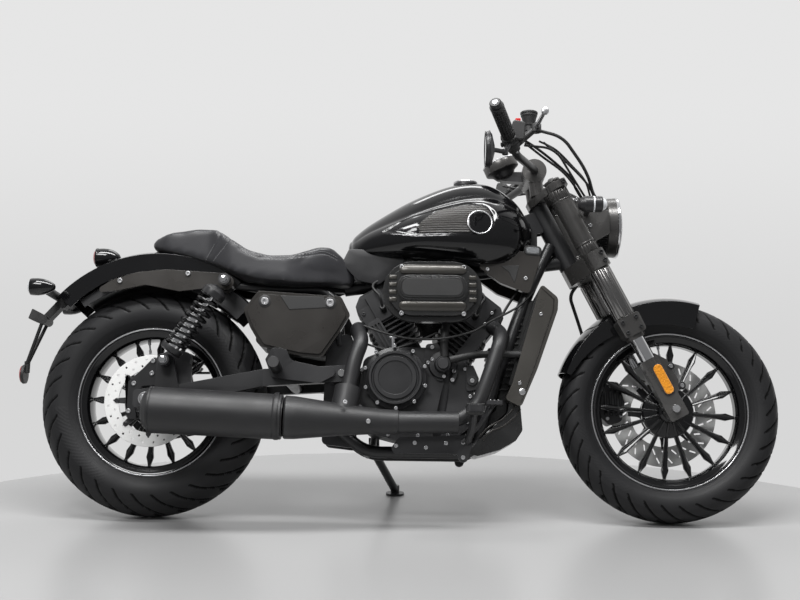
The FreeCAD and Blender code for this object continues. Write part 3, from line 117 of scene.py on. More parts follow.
def rounded(corners, steps=5):
    """A closed outline of (a, b, radius) corners as plain points."""
    out = []
    count = len(corners)
    for i, (x, y, r) in enumerate(corners):
        p = Vector((x, y))
        a = Vector(corners[i - 1][:2]) - p
        b = Vector(corners[(i + 1) % count][:2]) - p
        half = a.angle(b) / 2
        reach = min(r / max(1e-3, sin(half) / cos(half)), 0.49 * a.length, 0.49 * b.length)
        start = p + a.normalized() * reach
        end = p + b.normalized() * reach
        for k in range(steps + 1):
            t = k / steps
            out.append(start * (1 - t) ** 2 + p * 2 * t * (1 - t) + end * t * t)
    return out


def rect(a0, b0, a1, b1, r):
    """Corners of a rectangle with rounded corners, for slab() and side()."""
    return [(a0, b0, r), (a1, b0, r), (a1, b1, r), (a0, b1, r)]


def spoke(t):
    """Outward and turning directions of a wheel at angle t."""
    return V3(cos(t), 0, sin(t)), V3(-sin(t), 0, cos(t))


def hexagon(r, t):
    return r * cos(pi / 6) / cos((t % (pi / 3)) - pi / 6)


def gap(q, a, b):
    """Distance of a flat point from the line between two others."""
    edge = b - a
    t = max(0.0, min(1.0, (q - a).dot(edge) / max(1e-9, edge.length_squared)))
    return (q - a - edge * t).length


def mirrored(points):
    """Points of the other half of a symmetrical profile."""
    return [(-a, b) for a, b in reversed(points)]


class Shape:
    """Vertices and faces, in the upright machine's millimetres, that become one piece."""

    waiting = []    # shapes that aren't made yet, oldest first

    def __init__(self, name, mat, body="chassis", slot=None, inlay=None, angle=32, replaces=()):
        self.verts, self.faces, self.marks = [], [], []
        self.name, self.body, self.angle, self.replaces = name, body, angle, replaces
        self.mats = [mat, inlay] if inlay else [mat]
        self.slot = slot or SLOTS.get(mat, mat)
        Shape.waiting.append(self)

    def grid(self, rows, loop=False, ring=False, cap=False):
        """Faces over rows of points; loop joins each row's ends, ring joins the last row to the first."""
        base = len(self.verts)
        width = len(rows[0])
        for row in rows:
            self.verts += row
        count = len(rows)
        for i in range(count if ring else count - 1):
            for j in range(width if loop else width - 1):
                near, far, k = base + i * width, base + (i + 1) % count * width, (j + 1) % width
                self.faces.append((near + j, near + k, far + k, far + j))
        if cap:
            last = base + (count - 1) * width
            self.faces += [tuple(range(base, base + width)), tuple(range(last, last + width))]
        self.marks += [0] * (len(self.faces) - len(self.marks))

    def lathe(self, profile, base, axis, segs=48, ring=False, radius=None):
        """(along, radius) points turned about an axis; radius(r, angle) may shape the circle."""
        axis = Vector(axis).normalized()
        side = axis.cross(Z)
        if side.length < 0.1:
            side = axis.cross(X)
        side.normalize()
        other = axis.cross(side)
        turns = [2 * pi * k / segs for k in range(segs)]
        rows = []
        for a, r in profile:
            sizes = [radius(r, t) if radius else r for t in turns]
            rows.append([base + axis * a + side * (rr * cos(t)) + other * (rr * sin(t))
                    for rr, t in zip(sizes, turns)])
        self.grid(rows, loop=True, ring=ring)

    def rod(self, a, b, r, segs=20, chamfer=0.8):
        length = (b - a).length
        self.lathe([(0, 0), (0, r - chamfer), (chamfer, r), (length - chamfer, r), (length, r - chamfer),
                (length, 0)], a, b - a, segs)

    def bolt(self, p, normal, r=6.0, h=4.0):
        """Socket screw head: a chamfered disc with a six-sided hole."""
        socket = 0.52 * r
        profile = [(-1, r), (h - 0.14 * r, r), (h, 0.86 * r), (h, socket + 0.02), (h, socket), (h - 0.45 * r, socket),
                (h - 0.45 * r, 0)]
        self.lathe(profile, p, normal, 24, radius=lambda rr, t: rr if rr > socket + 0.01 or rr < 0.01
                else hexagon(rr, t))

    def bolts(self, y, points, r, h):
        """Socket screws that face sideways, at the (x, z) points of a plane."""
        for x, z in points:
            self.bolt(V3(x, y, z), Y if y > 0 else -Y, r, h)

    def hex(self, p, normal, r=7.0, h=5.0):
        """Hexagonal nut or bolt head with a washer."""
        self.lathe([(-1, r * 1.25), (1, r * 1.25), (1, r)], p, normal, 24)
        self.lathe([(1, r), (h - 0.6, r), (h, r * 0.86), (h, 0)], p, normal, 24, radius=hexagon)

    def tube(self, pts, r, segs=12):
        """Round tube along points."""
        side = (pts[1] - pts[0]).normalized().orthogonal().normalized()
        rows = []
        for i, p in enumerate(pts):
            new = (pts[min(i + 1, len(pts) - 1)] - pts[max(i - 1, 0)]).normalized()
            side = (side - new * side.dot(new)).normalized()
            other = new.cross(side)
            rows.append([p + side * (r * cos(2 * pi * k / segs)) + other * (r * sin(2 * pi * k / segs))
                    for k in range(segs)])
        self.grid(rows, loop=True, cap=True)

    def slab(self, corners, place, t0, t1, chamfer=1.0):
        """Rounded outline extruded from t0 to t1, with chamfered rims; place(a, b, t) gives a point."""
        points = rounded(corners)
        count = len(points)
        area = sum(points[i].x * points[(i + 1) % count].y - points[(i + 1) % count].x * points[i].y
                for i in range(count))
        turn = 1 if area > 0 else -1
        inner = []
        for i in range(count):
            d = points[(i + 1) % count] - points[i - 1]
            d = d.normalized() if d.length > 1e-6 else Vector((1, 0))
            inner.append(points[i] + Vector((-d.y, d.x)) * (turn * chamfer))
        step = chamfer if t1 > t0 else -chamfer
        rows = []
        for ring, t in ((inner, t0), (points, t0 + step), (points, t1 - step), (inner, t1)):
            rows.append([Vector(place(p.x, p.y, t)) for p in ring])
        self.grid(rows, loop=True, cap=True)

    def side(self, corners, y0, y1, chamfer=1.0):
        self.slab(corners, lambda a, b, t: (a, t, b), y0, y1, chamfer)

    def make(self):
        """The piece, with doubled points merged."""
        Shape.waiting.remove(self)
        mesh = bpy.data.meshes.new(self.name)
        mesh.from_pydata([at(p) for p in self.verts], [], self.faces)
        if any(self.marks):
            mesh.polygons.foreach_set("material_index", self.marks)
        tidy = bmesh.new()
        tidy.from_mesh(mesh)
        bmesh.ops.remove_doubles(tidy, verts=tidy.verts, dist=1e-5)
        bmesh.ops.dissolve_degenerate(tidy, edges=tidy.edges, dist=1e-6)
        bmesh.ops.recalc_face_normals(tidy, faces=tidy.faces)
        tidy.to_mesh(mesh)
        tidy.free()
        mesh.polygons.foreach_set("use_smooth", [True] * len(mesh.polygons))
        mesh.set_sharp_from_angle(angle=radians(self.angle))
        return piece(self.name, mesh, self.body, self.mats, self.replaces)


def piece(name, mesh, body, mats, replaces=()):
    obj = bpy.data.objects.new(name, mesh)
    bpy.context.scene.collection.objects.link(obj)
    if obj.data.materials:
        obj.data.materials.clear()
    for mat in mats:
        obj.data.materials.append(M[mat])
    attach(obj, body)
    if replaces:
        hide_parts(*replaces)
    return obj


def bake(obj):
    """Makes an object's mesh what its modifiers show."""
    bpy.context.view_layer.update()
    done = bpy.data.meshes.new_from_object(obj.evaluated_get(bpy.context.evaluated_depsgraph_get()))
    obj.modifiers.clear()
    obj.data = done


# ---- camera ----
FOCAL = 1223.9 / 800    # focal length as a part of the picture's width


def make_camera():
    data = bpy.data.cameras.new("camera")
    data.sensor_width = 36.0
    data.lens = data.sensor_width * FOCAL
    cam = bpy.data.objects.new("camera", data)
    bpy.context.scene.collection.objects.link(cam)
    bpy.context.scene.camera = cam
    yaw = radians(-0.69)
    pitch = radians(3.88)
    roll = radians(0.56)
    ahead = V3(sin(yaw) * cos(pitch), cos(yaw) * cos(pitch), -sin(pitch))
    right = ahead.cross(Z).normalized()
    up = right.cross(ahead)
    tilted_right = right * cos(roll) + up * sin(roll)
    tilted_up = up * cos(roll) - right * sin(roll)
    turn = Matrix((tilted_right, tilted_up, -ahead)).transposed()
    place = (V3(8.06, -3300.0, 830.0) - ORIGIN) / 1000
    cam.matrix_world = Matrix.Translation(place) @ turn.to_4x4()
    data.clip_end = 60


# ---- materials ----
M = {}
# the record's slot for each look that isn't a slot's own
SLOTS = {"alloy": "bare_steel", "chrome": "bare_steel", "disc_steel": "bare_steel", "mirror_glass": "bare_steel",
        "lens_white": "lens_clear", "lens_grey": "lens_clear", "lens_red": "lens_clear", "cover_black": "bronze_grey",
        "cover_bronze": "bronze_grey", "switch_red": "black_plastic", "dial_white": "black_plastic",
        "thread_grey": "vinyl"}


def feed(tree, target, inputs):
    """Gives each input its value, or links it to another node's output."""
    for key, value in inputs.items():
        if isinstance(value, bpy.types.NodeSocket):
            tree.links.new(value, target.inputs[key])
        else:
            target.inputs[key].default_value = value


def node(tree, kind, inputs=None, **settings):
    """The outputs of a new shader node."""
    new = tree.nodes.new("ShaderNode" + kind)
    for key, value in settings.items():
        setattr(new, key, value)
    feed(tree, new, inputs or {})
    return new.outputs


def shader(name):
    mat = bpy.data.materials.new(name)
    mat.use_nodes = True
    return mat, mat.node_tree, mat.node_tree.nodes["Principled BSDF"]


def finish_material(name, colour, rough, metal=0.0, coat=0.0, coat_rough=0.03, spread=0.06, grain=300.0, bump=0.02,
        edge=0.0, colour_var=0.12, sheen=0.0, specular=0.5, bump_mm=0.4, dust=0.0, cells=False):
    """Colour with slight variation and edge wear, uneven roughness, fine relief and rounded edges."""
    mat, tree, bsdf = shader(name)
    place = node(tree, "TexCoord")["Object"]
    broad = node(tree, "TexNoise", {"Scale": 12.0, "Detail": 6, "Vector": place})["Fac"]
    dark, light = ([min(1.0, c * (1 + part)) for c in colour] + [1] for part in (-colour_var, colour_var))
    out = node(tree, "Mix", {"A": dark, "B": light, "Factor": broad}, data_type="RGBA")["Result"]
    if dust:
        # worn, slightly lighter edges
        point = node(tree, "NewGeometry")["Pointiness"]
        wear = node(tree, "MapRange", {"From Min": 0.52, "From Max": 0.62, "Value": point})["Result"]
        worn = [min(1.0, c * 1.5 + dust) for c in colour] + [1]
        out = node(tree, "Mix", {"A": out, "B": worn, "Factor": wear}, data_type="RGBA")["Result"]
    ramp = node(tree, "MapRange", {"From Min": 0.3, "From Max": 0.7, "To Min": max(0.02, rough - spread),
            "To Max": min(1.0, rough + spread), "Value": broad})["Result"]
    feed(tree, bsdf, {"Base Color": out, "Roughness": ramp, "Metallic": metal, "Coat Weight": coat,
            "Coat Roughness": coat_rough, "Sheen Weight": sheen, "Specular IOR Level": specular})
    under = {}
    if edge > 0:
        under = {"Normal": node(tree, "Bevel", {"Radius": edge}, samples=4)["Normal"]}
        feed(tree, bsdf, {**under, "Coat Normal": under["Normal"]})
    if bump > 0:
        if cells:
            height = node(tree, "TexVoronoi", {"Scale": grain, "Vector": place}, feature="SMOOTH_F1")["Distance"]
        else:
            height = node(tree, "TexNoise", {"Scale": grain, "Detail": 4, "Vector": place})["Fac"]
        relief = node(tree, "Bump", {"Strength": bump, "Distance": bump_mm / 1000, "Height": height, **under})
        feed(tree, bsdf, {"Normal": relief["Normal"]})
    M[name] = mat
    return mat


def make_materials():
    make = finish_material
    make("gloss_black", (0.003, 0.003, 0.0035), 0.13, coat=0.6, coat_rough=0.02, spread=0.03, bump=0.0,
            edge=0.002, specular=0.3)
    make("satin_black", (0.012, 0.012, 0.013), 0.36, bump=0.15, grain=900, edge=0.0012, dust=0.01)
    make("bronze_grey", (0.020, 0.018, 0.016), 0.30, metal=0.3, coat=0.25, coat_rough=0.15, bump=0.1, grain=1400,
            edge=0.0015, dust=0.008)
    make("cover_black", (0.008, 0.008, 0.008), 0.26, coat=0.5, coat_rough=0.1, bump=0.1, grain=1200,
            edge=0.0015, dust=0.006)
    make("exhaust_black", (0.016, 0.016, 0.017), 0.46, bump=0.2, grain=1200, edge=0.001, dust=0.01)
    make("engine_black", (0.013, 0.013, 0.014), 0.42, bump=0.3, grain=1100, edge=0.0012, dust=0.015)
    make("bare_steel", (0.55, 0.55, 0.55), 0.24, metal=1.0, bump=0.08, grain=500, edge=0.0006)
    make("disc_steel", (0.78, 0.78, 0.77), 0.5, metal=0.1, bump=0.05, grain=900, edge=0.0004)
    make("smoked_chrome", (0.27, 0.265, 0.26), 0.2, metal=1.0, bump=0.0, spread=0.03)
    make("cover_bronze", (0.050, 0.047, 0.042), 0.33, metal=0.55, coat=0.3, coat_rough=0.2, bump=0.1, grain=1400,
            edge=0.002, dust=0.01)
    make("fork_grey", (0.075, 0.073, 0.071), 0.28, metal=0.6, bump=0.1, grain=1400, edge=0.001, dust=0.008)
    make("alloy", (0.62, 0.62, 0.63), 0.28, metal=0.9, bump=0.06, edge=0.0008)
    make("tyre_rubber", (0.012, 0.012, 0.013), 0.6, bump=0.35, grain=600, colour_var=0.2, dust=0.008, specular=0.35)
    # painted shade: a near-black look for the deep tread groove faces, darker than the rubber as if shade lay in the
    # grooves
    make("tyre_groove_painted_shade", (0.003, 0.003, 0.003), 0.8, bump=0.2, grain=600, specular=0.1)
    make("soft_rubber", (0.012, 0.012, 0.012), 0.55, bump=0.25, grain=700, edge=0.0008)
    make("vinyl", (0.026, 0.026, 0.029), 0.40, bump=0.3, grain=520, sheen=0.05, cells=True)
    make("black_plastic", (0.013, 0.013, 0.013), 0.48, bump=0.35, grain=1000, edge=0.001, dust=0.008)
    make("radiator_core", (0.012, 0.012, 0.012), 0.5, metal=0.3, bump=0.2)
    make("chrome", (0.72, 0.72, 0.73), 0.12, metal=1.0, bump=0.0, spread=0.04)
    make("thread_grey", (0.26, 0.26, 0.265), 0.8, bump=0.3, grain=2500)
    make("lens_red", (0.32, 0.004, 0.004), 0.12, coat=1.0, bump=0.3, grain=350, bump_mm=0.8)
    make("switch_red", (0.42, 0.008, 0.006), 0.35, bump=0.1)
    make("amber", (0.72, 0.27, 0.012), 0.22, coat=1.0, bump=1.0, grain=190, cells=True, bump_mm=2.0, colour_var=0.3)
    make("lens_white", (0.72, 0.74, 0.76), 0.1, coat=1.0, bump=0.5, grain=260, cells=True, bump_mm=1.0)
    make("lens_grey", (0.34, 0.35, 0.36), 0.14, metal=0.5, coat=1.0, bump=0.7, grain=260, cells=True, bump_mm=1.2)
    make("mirror_glass", (0.8, 0.81, 0.82), 0.05, metal=1.0, bump=0.0, spread=0.02)
    make("dial_white", (0.62, 0.62, 0.6), 0.4, bump=0.05)
    tree = make("lens_clear", (0.96, 0.97, 0.98), 0.06, coat=0.6, bump=0.0, spread=0.03, colour_var=0.02).node_tree
    feed(tree, tree.nodes["Principled BSDF"], {"Transmission Weight": 0.92, "IOR": 1.49})
    # long horizontal ridges across the tank's recessed panel
    tree = make("panel_grey", (0.030, 0.028, 0.026), 0.34, metal=0.3, bump=0.0, edge=0.001).node_tree
    ridge = 0.0068
    place = node(tree, "TexCoord")["Object"]
    height = node(tree, "VectorMath", {0: place, 1: (0, sin(LEAN), cos(LEAN))}, operation="DOT_PRODUCT")["Value"]
    turns = node(tree, "Math", {0: height, 1: 2 * pi / ridge}, operation="MULTIPLY")["Value"]
    wave = node(tree, "Math", {0: turns}, operation="SINE")["Value"]
    relief = node(tree, "Bump", {"Distance": 0.0009, "Height": wave})["Normal"]
    feed(tree, tree.nodes["Principled BSDF"], {"Normal": relief})


# ---- room ----
def make_room():
    """A round pale table, a white wall of light behind it and a dimmer room in front."""
    centre = V3(0.0, -0.78, 0.0) - V3(ORIGIN.x, ORIGIN.y, 0) / 1000
    radius, count = 1.75, 180
    ring = [centre + V3(radius * cos(2 * pi * k / count), radius * sin(2 * pi * k / count), 0) for k in range(count)]
    mesh = bpy.data.meshes.new("floor")
    mesh.from_pydata([(p.x, p.y, z) for z in (0, -0.03) for p in ring], [],
            [tuple(range(count))] + [(k, (k + 1) % count, count + (k + 1) % count, count + k) for k in range(count)])
    ground = bpy.data.objects.new("floor", mesh)
    bpy.context.scene.collection.objects.link(ground)
    mat, tree, bsdf = shader("floor")
    noise = node(tree, "TexNoise", {"Scale": 3.0})["Fac"]
    tint = node(tree, "MapRange", {"To Min": 0.33, "To Max": 0.36, "Value": noise})["Result"]
    feed(tree, bsdf, {"Base Color": tint, "Roughness": 0.3})
    mesh.materials.append(mat)
    world = bpy.data.worlds.new("world")
    bpy.context.scene.world = world
    world.use_nodes = True
    tree = world.node_tree
    way = node(tree, "SeparateXYZ", {"Vector": node(tree, "TexCoord")["Generated"]})
    front = node(tree, "MapRange", {"From Min": -0.35, "From Max": 0.35, "Value": way["Y"]},
            interpolation_type="SMOOTHSTEP")["Result"]
    colour = node(tree, "Mix", {"A": (0.22, 0.222, 0.226, 1), "B": (0.79, 0.79, 0.79, 1), "Factor": front},
            data_type="RGBA")["Result"]
    low = node(tree, "MapRange", {"From Min": -0.12, "From Max": 0.10, "To Min": 0.86, "To Max": 1.0,
            "Value": way["Z"]}, interpolation_type="SMOOTHSTEP")["Result"]
    feed(tree, tree.nodes["Background"], {"Strength": low, "Color": colour})
    lamps = [("top", (0.0, -0.8, 3.0), 3.0, 0.5, 105), ("front", (-1.4, -3.2, 3.9), 2.0, 1.0, 100),
            ("rear", (0.2, 2.0, 3.4), 2.4, 0.6, 25)]
    for name, place, wide, deep, power in lamps:
        data = bpy.data.lights.new(name, "AREA")
        data.shape = "RECTANGLE"
        data.size = wide
        data.size_y = deep
        data.energy = power
        lamp = bpy.data.objects.new(name, data)
        lamp.location = place
        aim = V3(0, -0.05, 0.5) - Vector(place)
        lamp.rotation_mode = "QUATERNION"
        lamp.rotation_quaternion = aim.to_track_quat("-Z", "Y")
        bpy.context.scene.collection.objects.link(lamp)
    bpy.context.scene.view_settings.view_transform = "Standard"


def dress_cad():
    slots = {s["node"]: s["material_slot"] for s in frame["record"]["subparts"]}
    slots.update({"air_cleaner": "cover_black", "front_axle": "alloy", "belly_pan": "cover_black",
            "radiator_cover": "cover_bronze"})
    for name, obj in nodes.items():
        mat = M[slots[name]]
        if not obj.data.materials:
            obj.data.materials.append(mat)
        for i in range(len(obj.data.materials)):
            obj.material_slots[i].material = mat
        for poly in obj.data.polygons:
            poly.use_smooth = True


# ---- tyres ----
def arc3(a, b, c, steps):
    """Points of the circle through a, b, c from a to c."""
    d = 2 * (a[0] * (b[1] - c[1]) + b[0] * (c[1] - a[1]) + c[0] * (a[1] - b[1]))
    sq = [p[0] ** 2 + p[1] ** 2 for p in (a, b, c)]
    cx = (sq[0] * (b[1] - c[1]) + sq[1] * (c[1] - a[1]) + sq[2] * (a[1] - b[1])) / d
    cy = (sq[0] * (c[0] - b[0]) + sq[1] * (a[0] - c[0]) + sq[2] * (b[0] - a[0])) / d
    r = hypot(a[0] - cx, a[1] - cy)
    start = atan2(a[1] - cy, a[0] - cx)
    middle = atan2(b[1] - cy, b[0] - cx)
    end = atan2(c[1] - cy, c[0] - cx)
    sweep = (end - start + pi) % (2 * pi) - pi
    part = (middle - start + pi) % (2 * pi) - pi
    if sweep * part < 0:
        sweep -= 2 * pi * (1 if sweep > 0 else -1)
    return [(cx + r * cos(start + sweep * k / steps), cy + r * sin(start + sweep * k / steps))
            for k in range(steps + 1)]


CROWN_R = 80.0  # of the tread, across the tyre
GROOVE = 4.2    # depth of the long grooves
SHORT_GROOVE = 4.0
PAINTED_SHADE_DEPTH = 2.2     # where a cut is deeper than this, its faces take the near-black look: painted shade in the grooves


def tyre(name, centre, body, cad_node, radius, width, rim_r, bead_half, pitches, lean, reach):
    """Carcass with tread grooves cut round it; lean slants the grooves, reach is how far in they run."""
    crown_half = 0.8 * width / 2
    crown_drop = CROWN_R - sqrt(CROWN_R ** 2 - crown_half ** 2)
    shoulder = radius - crown_drop
    widest = rim_r + 0.42 * (radius - rim_r)
    flank = arc3((bead_half, rim_r), (width / 2, widest), (crown_half, shoulder), 30)
    crown = arc3((crown_half, shoulder), (0, radius), (-crown_half, shoulder), 36)
    profile = [(bead_half - 1, rim_r - 12)] + flank + crown[1:] + mirrored(flank)[1:]
    profile.append((1 - bead_half, rim_r - 12))
    count = 540
    # the second look is painted shade for the deep groove faces
    shape = Shape(name, "tyre_rubber", body, inlay="tyre_groove_painted_shade", angle=40, replaces=(cad_node,))
    rows = []
    shaded_rows = []
    for line, (y, r) in enumerate(profile):
        row = []
        shaded_row = []
        out = abs(y)
        flank_part = r < shoulder + 2 and out > crown_half - 2
        ridge = 0.0
        if flank_part:
            for ring_r in (rim_r + 9, rim_r + 15, rim_r + 0.62 * (radius - rim_r)):
                ridge += 1.5 * max(0.0, 1 - abs(r - ring_r) / 3.0)
        if r < shoulder - 40:
            depth = 0.0
        elif flank_part:
            depth = GROOVE * smooth(shoulder - 38, shoulder - 22, r)
        else:
            depth = GROOVE * smooth(reach, reach + 3, out)
        for k in range(count):
            t = 2 * pi * k / count
            side_shift = 0.5 if y > 0 else 0.0
            slant = out + 1.2 * (radius - r)
            phase = (t / (2 * pi) * pitches + slant * lean / 100 + side_shift) % 1.0
            cut = depth * (1 - smooth(0.06, 0.11, abs(phase - 0.5)))
            if out < reach + 22 and not flank_part:
                second = (t / (2 * pi) * pitches + out * lean * 0.7 / 100 + side_shift + 0.42) % 1.0
                deep = SHORT_GROOVE * smooth(reach - 16, reach - 12, out)
                cut = max(cut, deep * (1 - smooth(0.045, 0.09, abs(second - 0.5))))
            knurl = 0.0
            if flank_part and rim_r + 22 < r < rim_r + 0.5 * (radius - rim_r) and sin(2 * t + 0.4) > 0.55:
                knurl = 0.8 if (k // 2 + line // 2) % 2 else 0.0
            rr = r - cut + ridge + knurl
            row.append(centre + V3(rr * cos(t), y + (knurl if y > 0 else -knurl), rr * sin(t)))
            shaded_row.append(cut > PAINTED_SHADE_DEPTH)
        rows.append(row)
        shaded_rows.append(shaded_row)
    shape.grid(rows, loop=True)
    # painted shade: faces between deep cuts take the second, near-black look
    for i in range(len(rows) - 1):
        for k in range(count):
            if shaded_rows[i][k] and shaded_rows[i + 1][k] or shaded_rows[i][(k + 1) % count] and shaded_rows[i + 1][(k + 1) % count]:
                shape.marks[i * count + k] = 1


# ---- cast wheels ----
def wheel(name, centre, body, rim_r, opening_r, lip, hub_r, hub_half, first_deg):
    """Rim, hub and sixteen spokes; lip and hub_half are half widths."""
    rim = Shape(name, "gloss_black", body, angle=28, replaces=(body,))
    line = [(6 - lip, rim_r - 13), (5 - lip, rim_r), (-lip, rim_r), (-lip - 0.5, rim_r - 3), (0.5 - lip, rim_r - 9),
            (5 - lip, opening_r + 14), (9 - lip, opening_r + 5), (16 - lip, opening_r + 1), (24 - lip, opening_r),
            (-14, opening_r - 2)]
    rim.lathe(line + mirrored(line), centre, Y, 160, ring=True)
    # hub: bearing bosses, barrel and the ring that carries the spokes
    line = [(-hub_half, 0), (-hub_half, 19), (2 - hub_half, 22), (12 - hub_half, 23), (16 - hub_half, 30), (-24, 33),
            (-17, hub_r - 8), (-15, hub_r - 1), (-9, hub_r + 2)]
    rim.lathe(line + mirrored(line), centre, Y, 64)
    for i in range(16):
        out, across = spoke(radians(first_deg + 22.5 * i))
        r0 = hub_r - 16
        r1 = opening_r + 3
        rows = []
        stations = [(0.0, 11, 34), (0.12, 11, 30), (0.40, 12.5, 25), (0.66, 17, 22), (0.78, 22, 20),
                (0.90, 12, 18), (1.0, 5, 18)]
        for s, w, t in stations:
            c = centre + out * (r0 + (r1 - r0) * s)
            half = w / 2
            deep = min(2.6, w * 0.13)
            top = [(-half, 0), (-half * 0.86, t * 0.34), (-half * 0.52, t / 2), (0, t / 2 - deep),
                    (half * 0.52, t / 2), (half * 0.86, t * 0.34)]
            rows.append([c + across * a + Y * b for a, b in top + [(-a, -b) for a, b in top]])
        rim.grid(rows, loop=True, cap=True)
        # arms of the star on the hub's faces
        for side in (-1, 1):
            arm = []
            for s, w, h in ((24, 4, 32), (36, 7, 30), (hub_r - 14, 9, 20), (hub_r - 2, 12, 16)):
                c = centre + out * s
                arm.append([c + across * a + Y * side * b
                        for a, b in ((-w / 2, 12), (-w / 3, h), (w / 3, h), (w / 2, 12))])
            rim.grid(arm, loop=True, cap=True)
    bright = Shape(name + "_trim", "alloy", body)
    line = [(lip + 0.2, rim_r - 5), (lip + 1.1, rim_r - 4), (lip + 1.1, rim_r - 2), (lip + 0.2, rim_r - 1)]
    for side in (-1, 1):
        bright.lathe([(side * y, r) for y, r in line], centre, Y, 160)
    # valve stem
    out = spoke(radians(first_deg + 11))[0]
    foot = centre + out * (opening_r - 1) - Y * 6
    bright.rod(foot, foot - out * 10, 4.2)
    bright.rod(foot - out * 9, foot - out * 34, 2.6)
    bright.rod(foot - out * 24, foot - out * 36, 3.8)


DISC_THICK = 4.0


def disc(name, centre, body, cad_node, y0, side, outer, inner, carrier_r, slotted=False):
    """Brake disc with drilled holes or slanted slots, on a bolted carrier."""
    ring = Shape(name, "disc_steel", body, replaces=(cad_node,))
    a = y0 + side
    b = a + side * DISC_THICK
    ring.lathe([(a, inner), (a, outer - 0.6), (a + side * 0.6, outer), (b - side * 0.6, outer), (b, outer - 0.6),
            (b, inner)], centre, Y, 128, ring=True)
    obj = ring.make()
    cutter = Shape(name + "_holes", "bare_steel", body)
    for i in range(24):
        for k, r in enumerate((inner + 0.3 * (outer - inner), outer - 0.3 * (outer - inner))):
            out, turning = spoke(2 * pi * (i + 0.5 * k) / 24)
            p = centre + out * r + Y * (y0 - side * 6)
            if slotted:
                run = (out + turning * 0.7).normalized()
                over = Y.cross(run)

                def place(a, b, y):
                    return p + run * a + over * b + Y * y

                cutter.slab(rect(-9, -2.2, 9, 2.2, 2), place, 0, side * 20, 0.01)
            else:
                cutter.rod(p, p + Y * side * 20, 3.1, 12, 0.01)
    tool = cutter.make()
    mod = obj.modifiers.new("holes", "BOOLEAN")
    mod.object = tool
    mod.operation = "DIFFERENCE"
    mod.solver = "FAST"
    bake(obj)
    obj.data.polygons.foreach_set("use_smooth", [False] * len(obj.data.polygons))
    bpy.data.objects.remove(tool)
    hub = Shape(name + "_carrier", "satin_black", body)
    for i in range(8):
        out, across = spoke(2 * pi * i / 8)
        rows = []
        for s, w in ((carrier_r - 6, 26), (carrier_r + 8, 17), (inner - 6, 15), (inner + 7, 13)):
            c = centre + out * s
            rows.append([c + across * (a * w / 2) + Y * (y0 + side * h)
                    for a, h in ((-1, 0.4), (1, 0.4), (1, 5.6), (-1, 5.6))])
        hub.grid(rows, loop=True, cap=True)
        hub.lathe([(y0, 7), (y0 + side * 6.4, 7), (y0 + side * 7, 6), (y0 + side * 7, 3), (y0 + side * 6, 2.4),
                (y0 + side * 6, 0)], centre + out * (inner + 4), Y, 20)
        hub.bolt(centre + out * (carrier_r - 9) + Y * (y0 + side * 5.4), Y * side, 6.5, 5)
    hub.lathe([(y0, 21), (y0, carrier_r), (y0 + side * 5.6, carrier_r), (y0 + side * 5.6, 21)], centre,
            Y, 64, ring=True)


# ---- fork ----
RIB = 1.7   # height of the sixteen ribs round a fork leg


def build_fork():
    lower = Shape("fork_flutes_lower", "smoked_chrome", "steering", slot="fork_grey", angle=40)
    tubes = Shape("fork_flutes", "fork_grey", "steering", angle=40)
    bolts = Shape("fork_bolts", "satin_black", "steering")
    silver = Shape("fork_bright", "chrome", "steering")
    for side in (-1, 1):
        leg = fork(0, 0, side * 100.0)

        def flutes(shape, s0, s1, floor_r):
            """Ribbed length of the leg."""
            shape.lathe([(s0, floor_r - 0.3), (s0 + 3, floor_r), (s1 - 3, floor_r), (s1, floor_r - 0.3)], leg,
                    FORK_UP, 256, radius=lambda r, t: r + RIB * smooth(0.25, 0.55, abs(cos(8 * t)))
                    if r >= floor_r else r)

        flutes(lower, 281, 428, 28.35)
        flutes(tubes, 482, 508, 27.35)
        flutes(tubes, 648, 678, 27.35)
        for s in (509, 645):
            tubes.lathe([(s - 1.5, 28.9), (s, 30.1), (s + 2, 30.1), (s + 3.5, 29.0)], leg, FORK_UP, 64)
        # top cap with its adjuster
        tubes.lathe([(705, 24), (711, 23), (712, 20), (712, 12)], leg, FORK_UP, 48)
        silver.hex(leg + FORK_UP * 710, FORK_UP, 9, 8)
        # pinch bolts of the clamps
        for s in (443, 467):
            bolts.bolt(fork(s, 20, side * 134.5), Y * side, 6.5, 5)
        bolts.bolt(fork(690, 22, side * 134.5), Y * side, 6, 5)
        # fender collar
        for s in (238, 268):
            bolts.bolt(fork(s, 20, side * 133.5), Y * side, 5.5, 4)
            bolts.bolt(fork(s, -20, side * 133.5), Y * side, 5.5, 4)
        # dust seal over the inner tube
        tubes.lathe([(214, 21), (214, 25.5), (218, 27.5), (225, 28)], leg, FORK_UP, 48)
        silver.lathe([(150, 20.9), (214, 20.9)], leg, FORK_UP, 64)
        # axle pinch bolts and axle end
        for s in (-16, 16):
            bolts.bolt(fork(s, -27, side * 98), FORK_AHEAD * -1, 5, 4)
        silver.bolt(FRONT + Y * side * 116.5, Y * side, 10, 5)
        for s, a in ((108, 46), (48, 48)):
            silver.bolt(fork(s, a, side * 102), Y * side, 5.5, 4)
            bolts.lathe([(-6, 11), (-0.6, 11), (0.2, 10), (0.2, 0)], fork(s, a, side * 102), Y * side, 32)
    amber = Shape("side_reflectors", "amber", "steering", slot="satin_black")
    rims = Shape("reflector_rims", "black_plastic", "steering", slot="satin_black")
    for side in (-1, 1):
        y = side * 116.0
        amber.slab(rect(-5, 42, 21, 128, 13), lambda a, b, t: fork(b, a, t), y, y + side * 5.5, 2.0)
        rims.slab(rect(-8, 39, 24, 131, 15), lambda a, b, t: fork(b, a, t), y - side * 1, y + side * 3, 1.0)


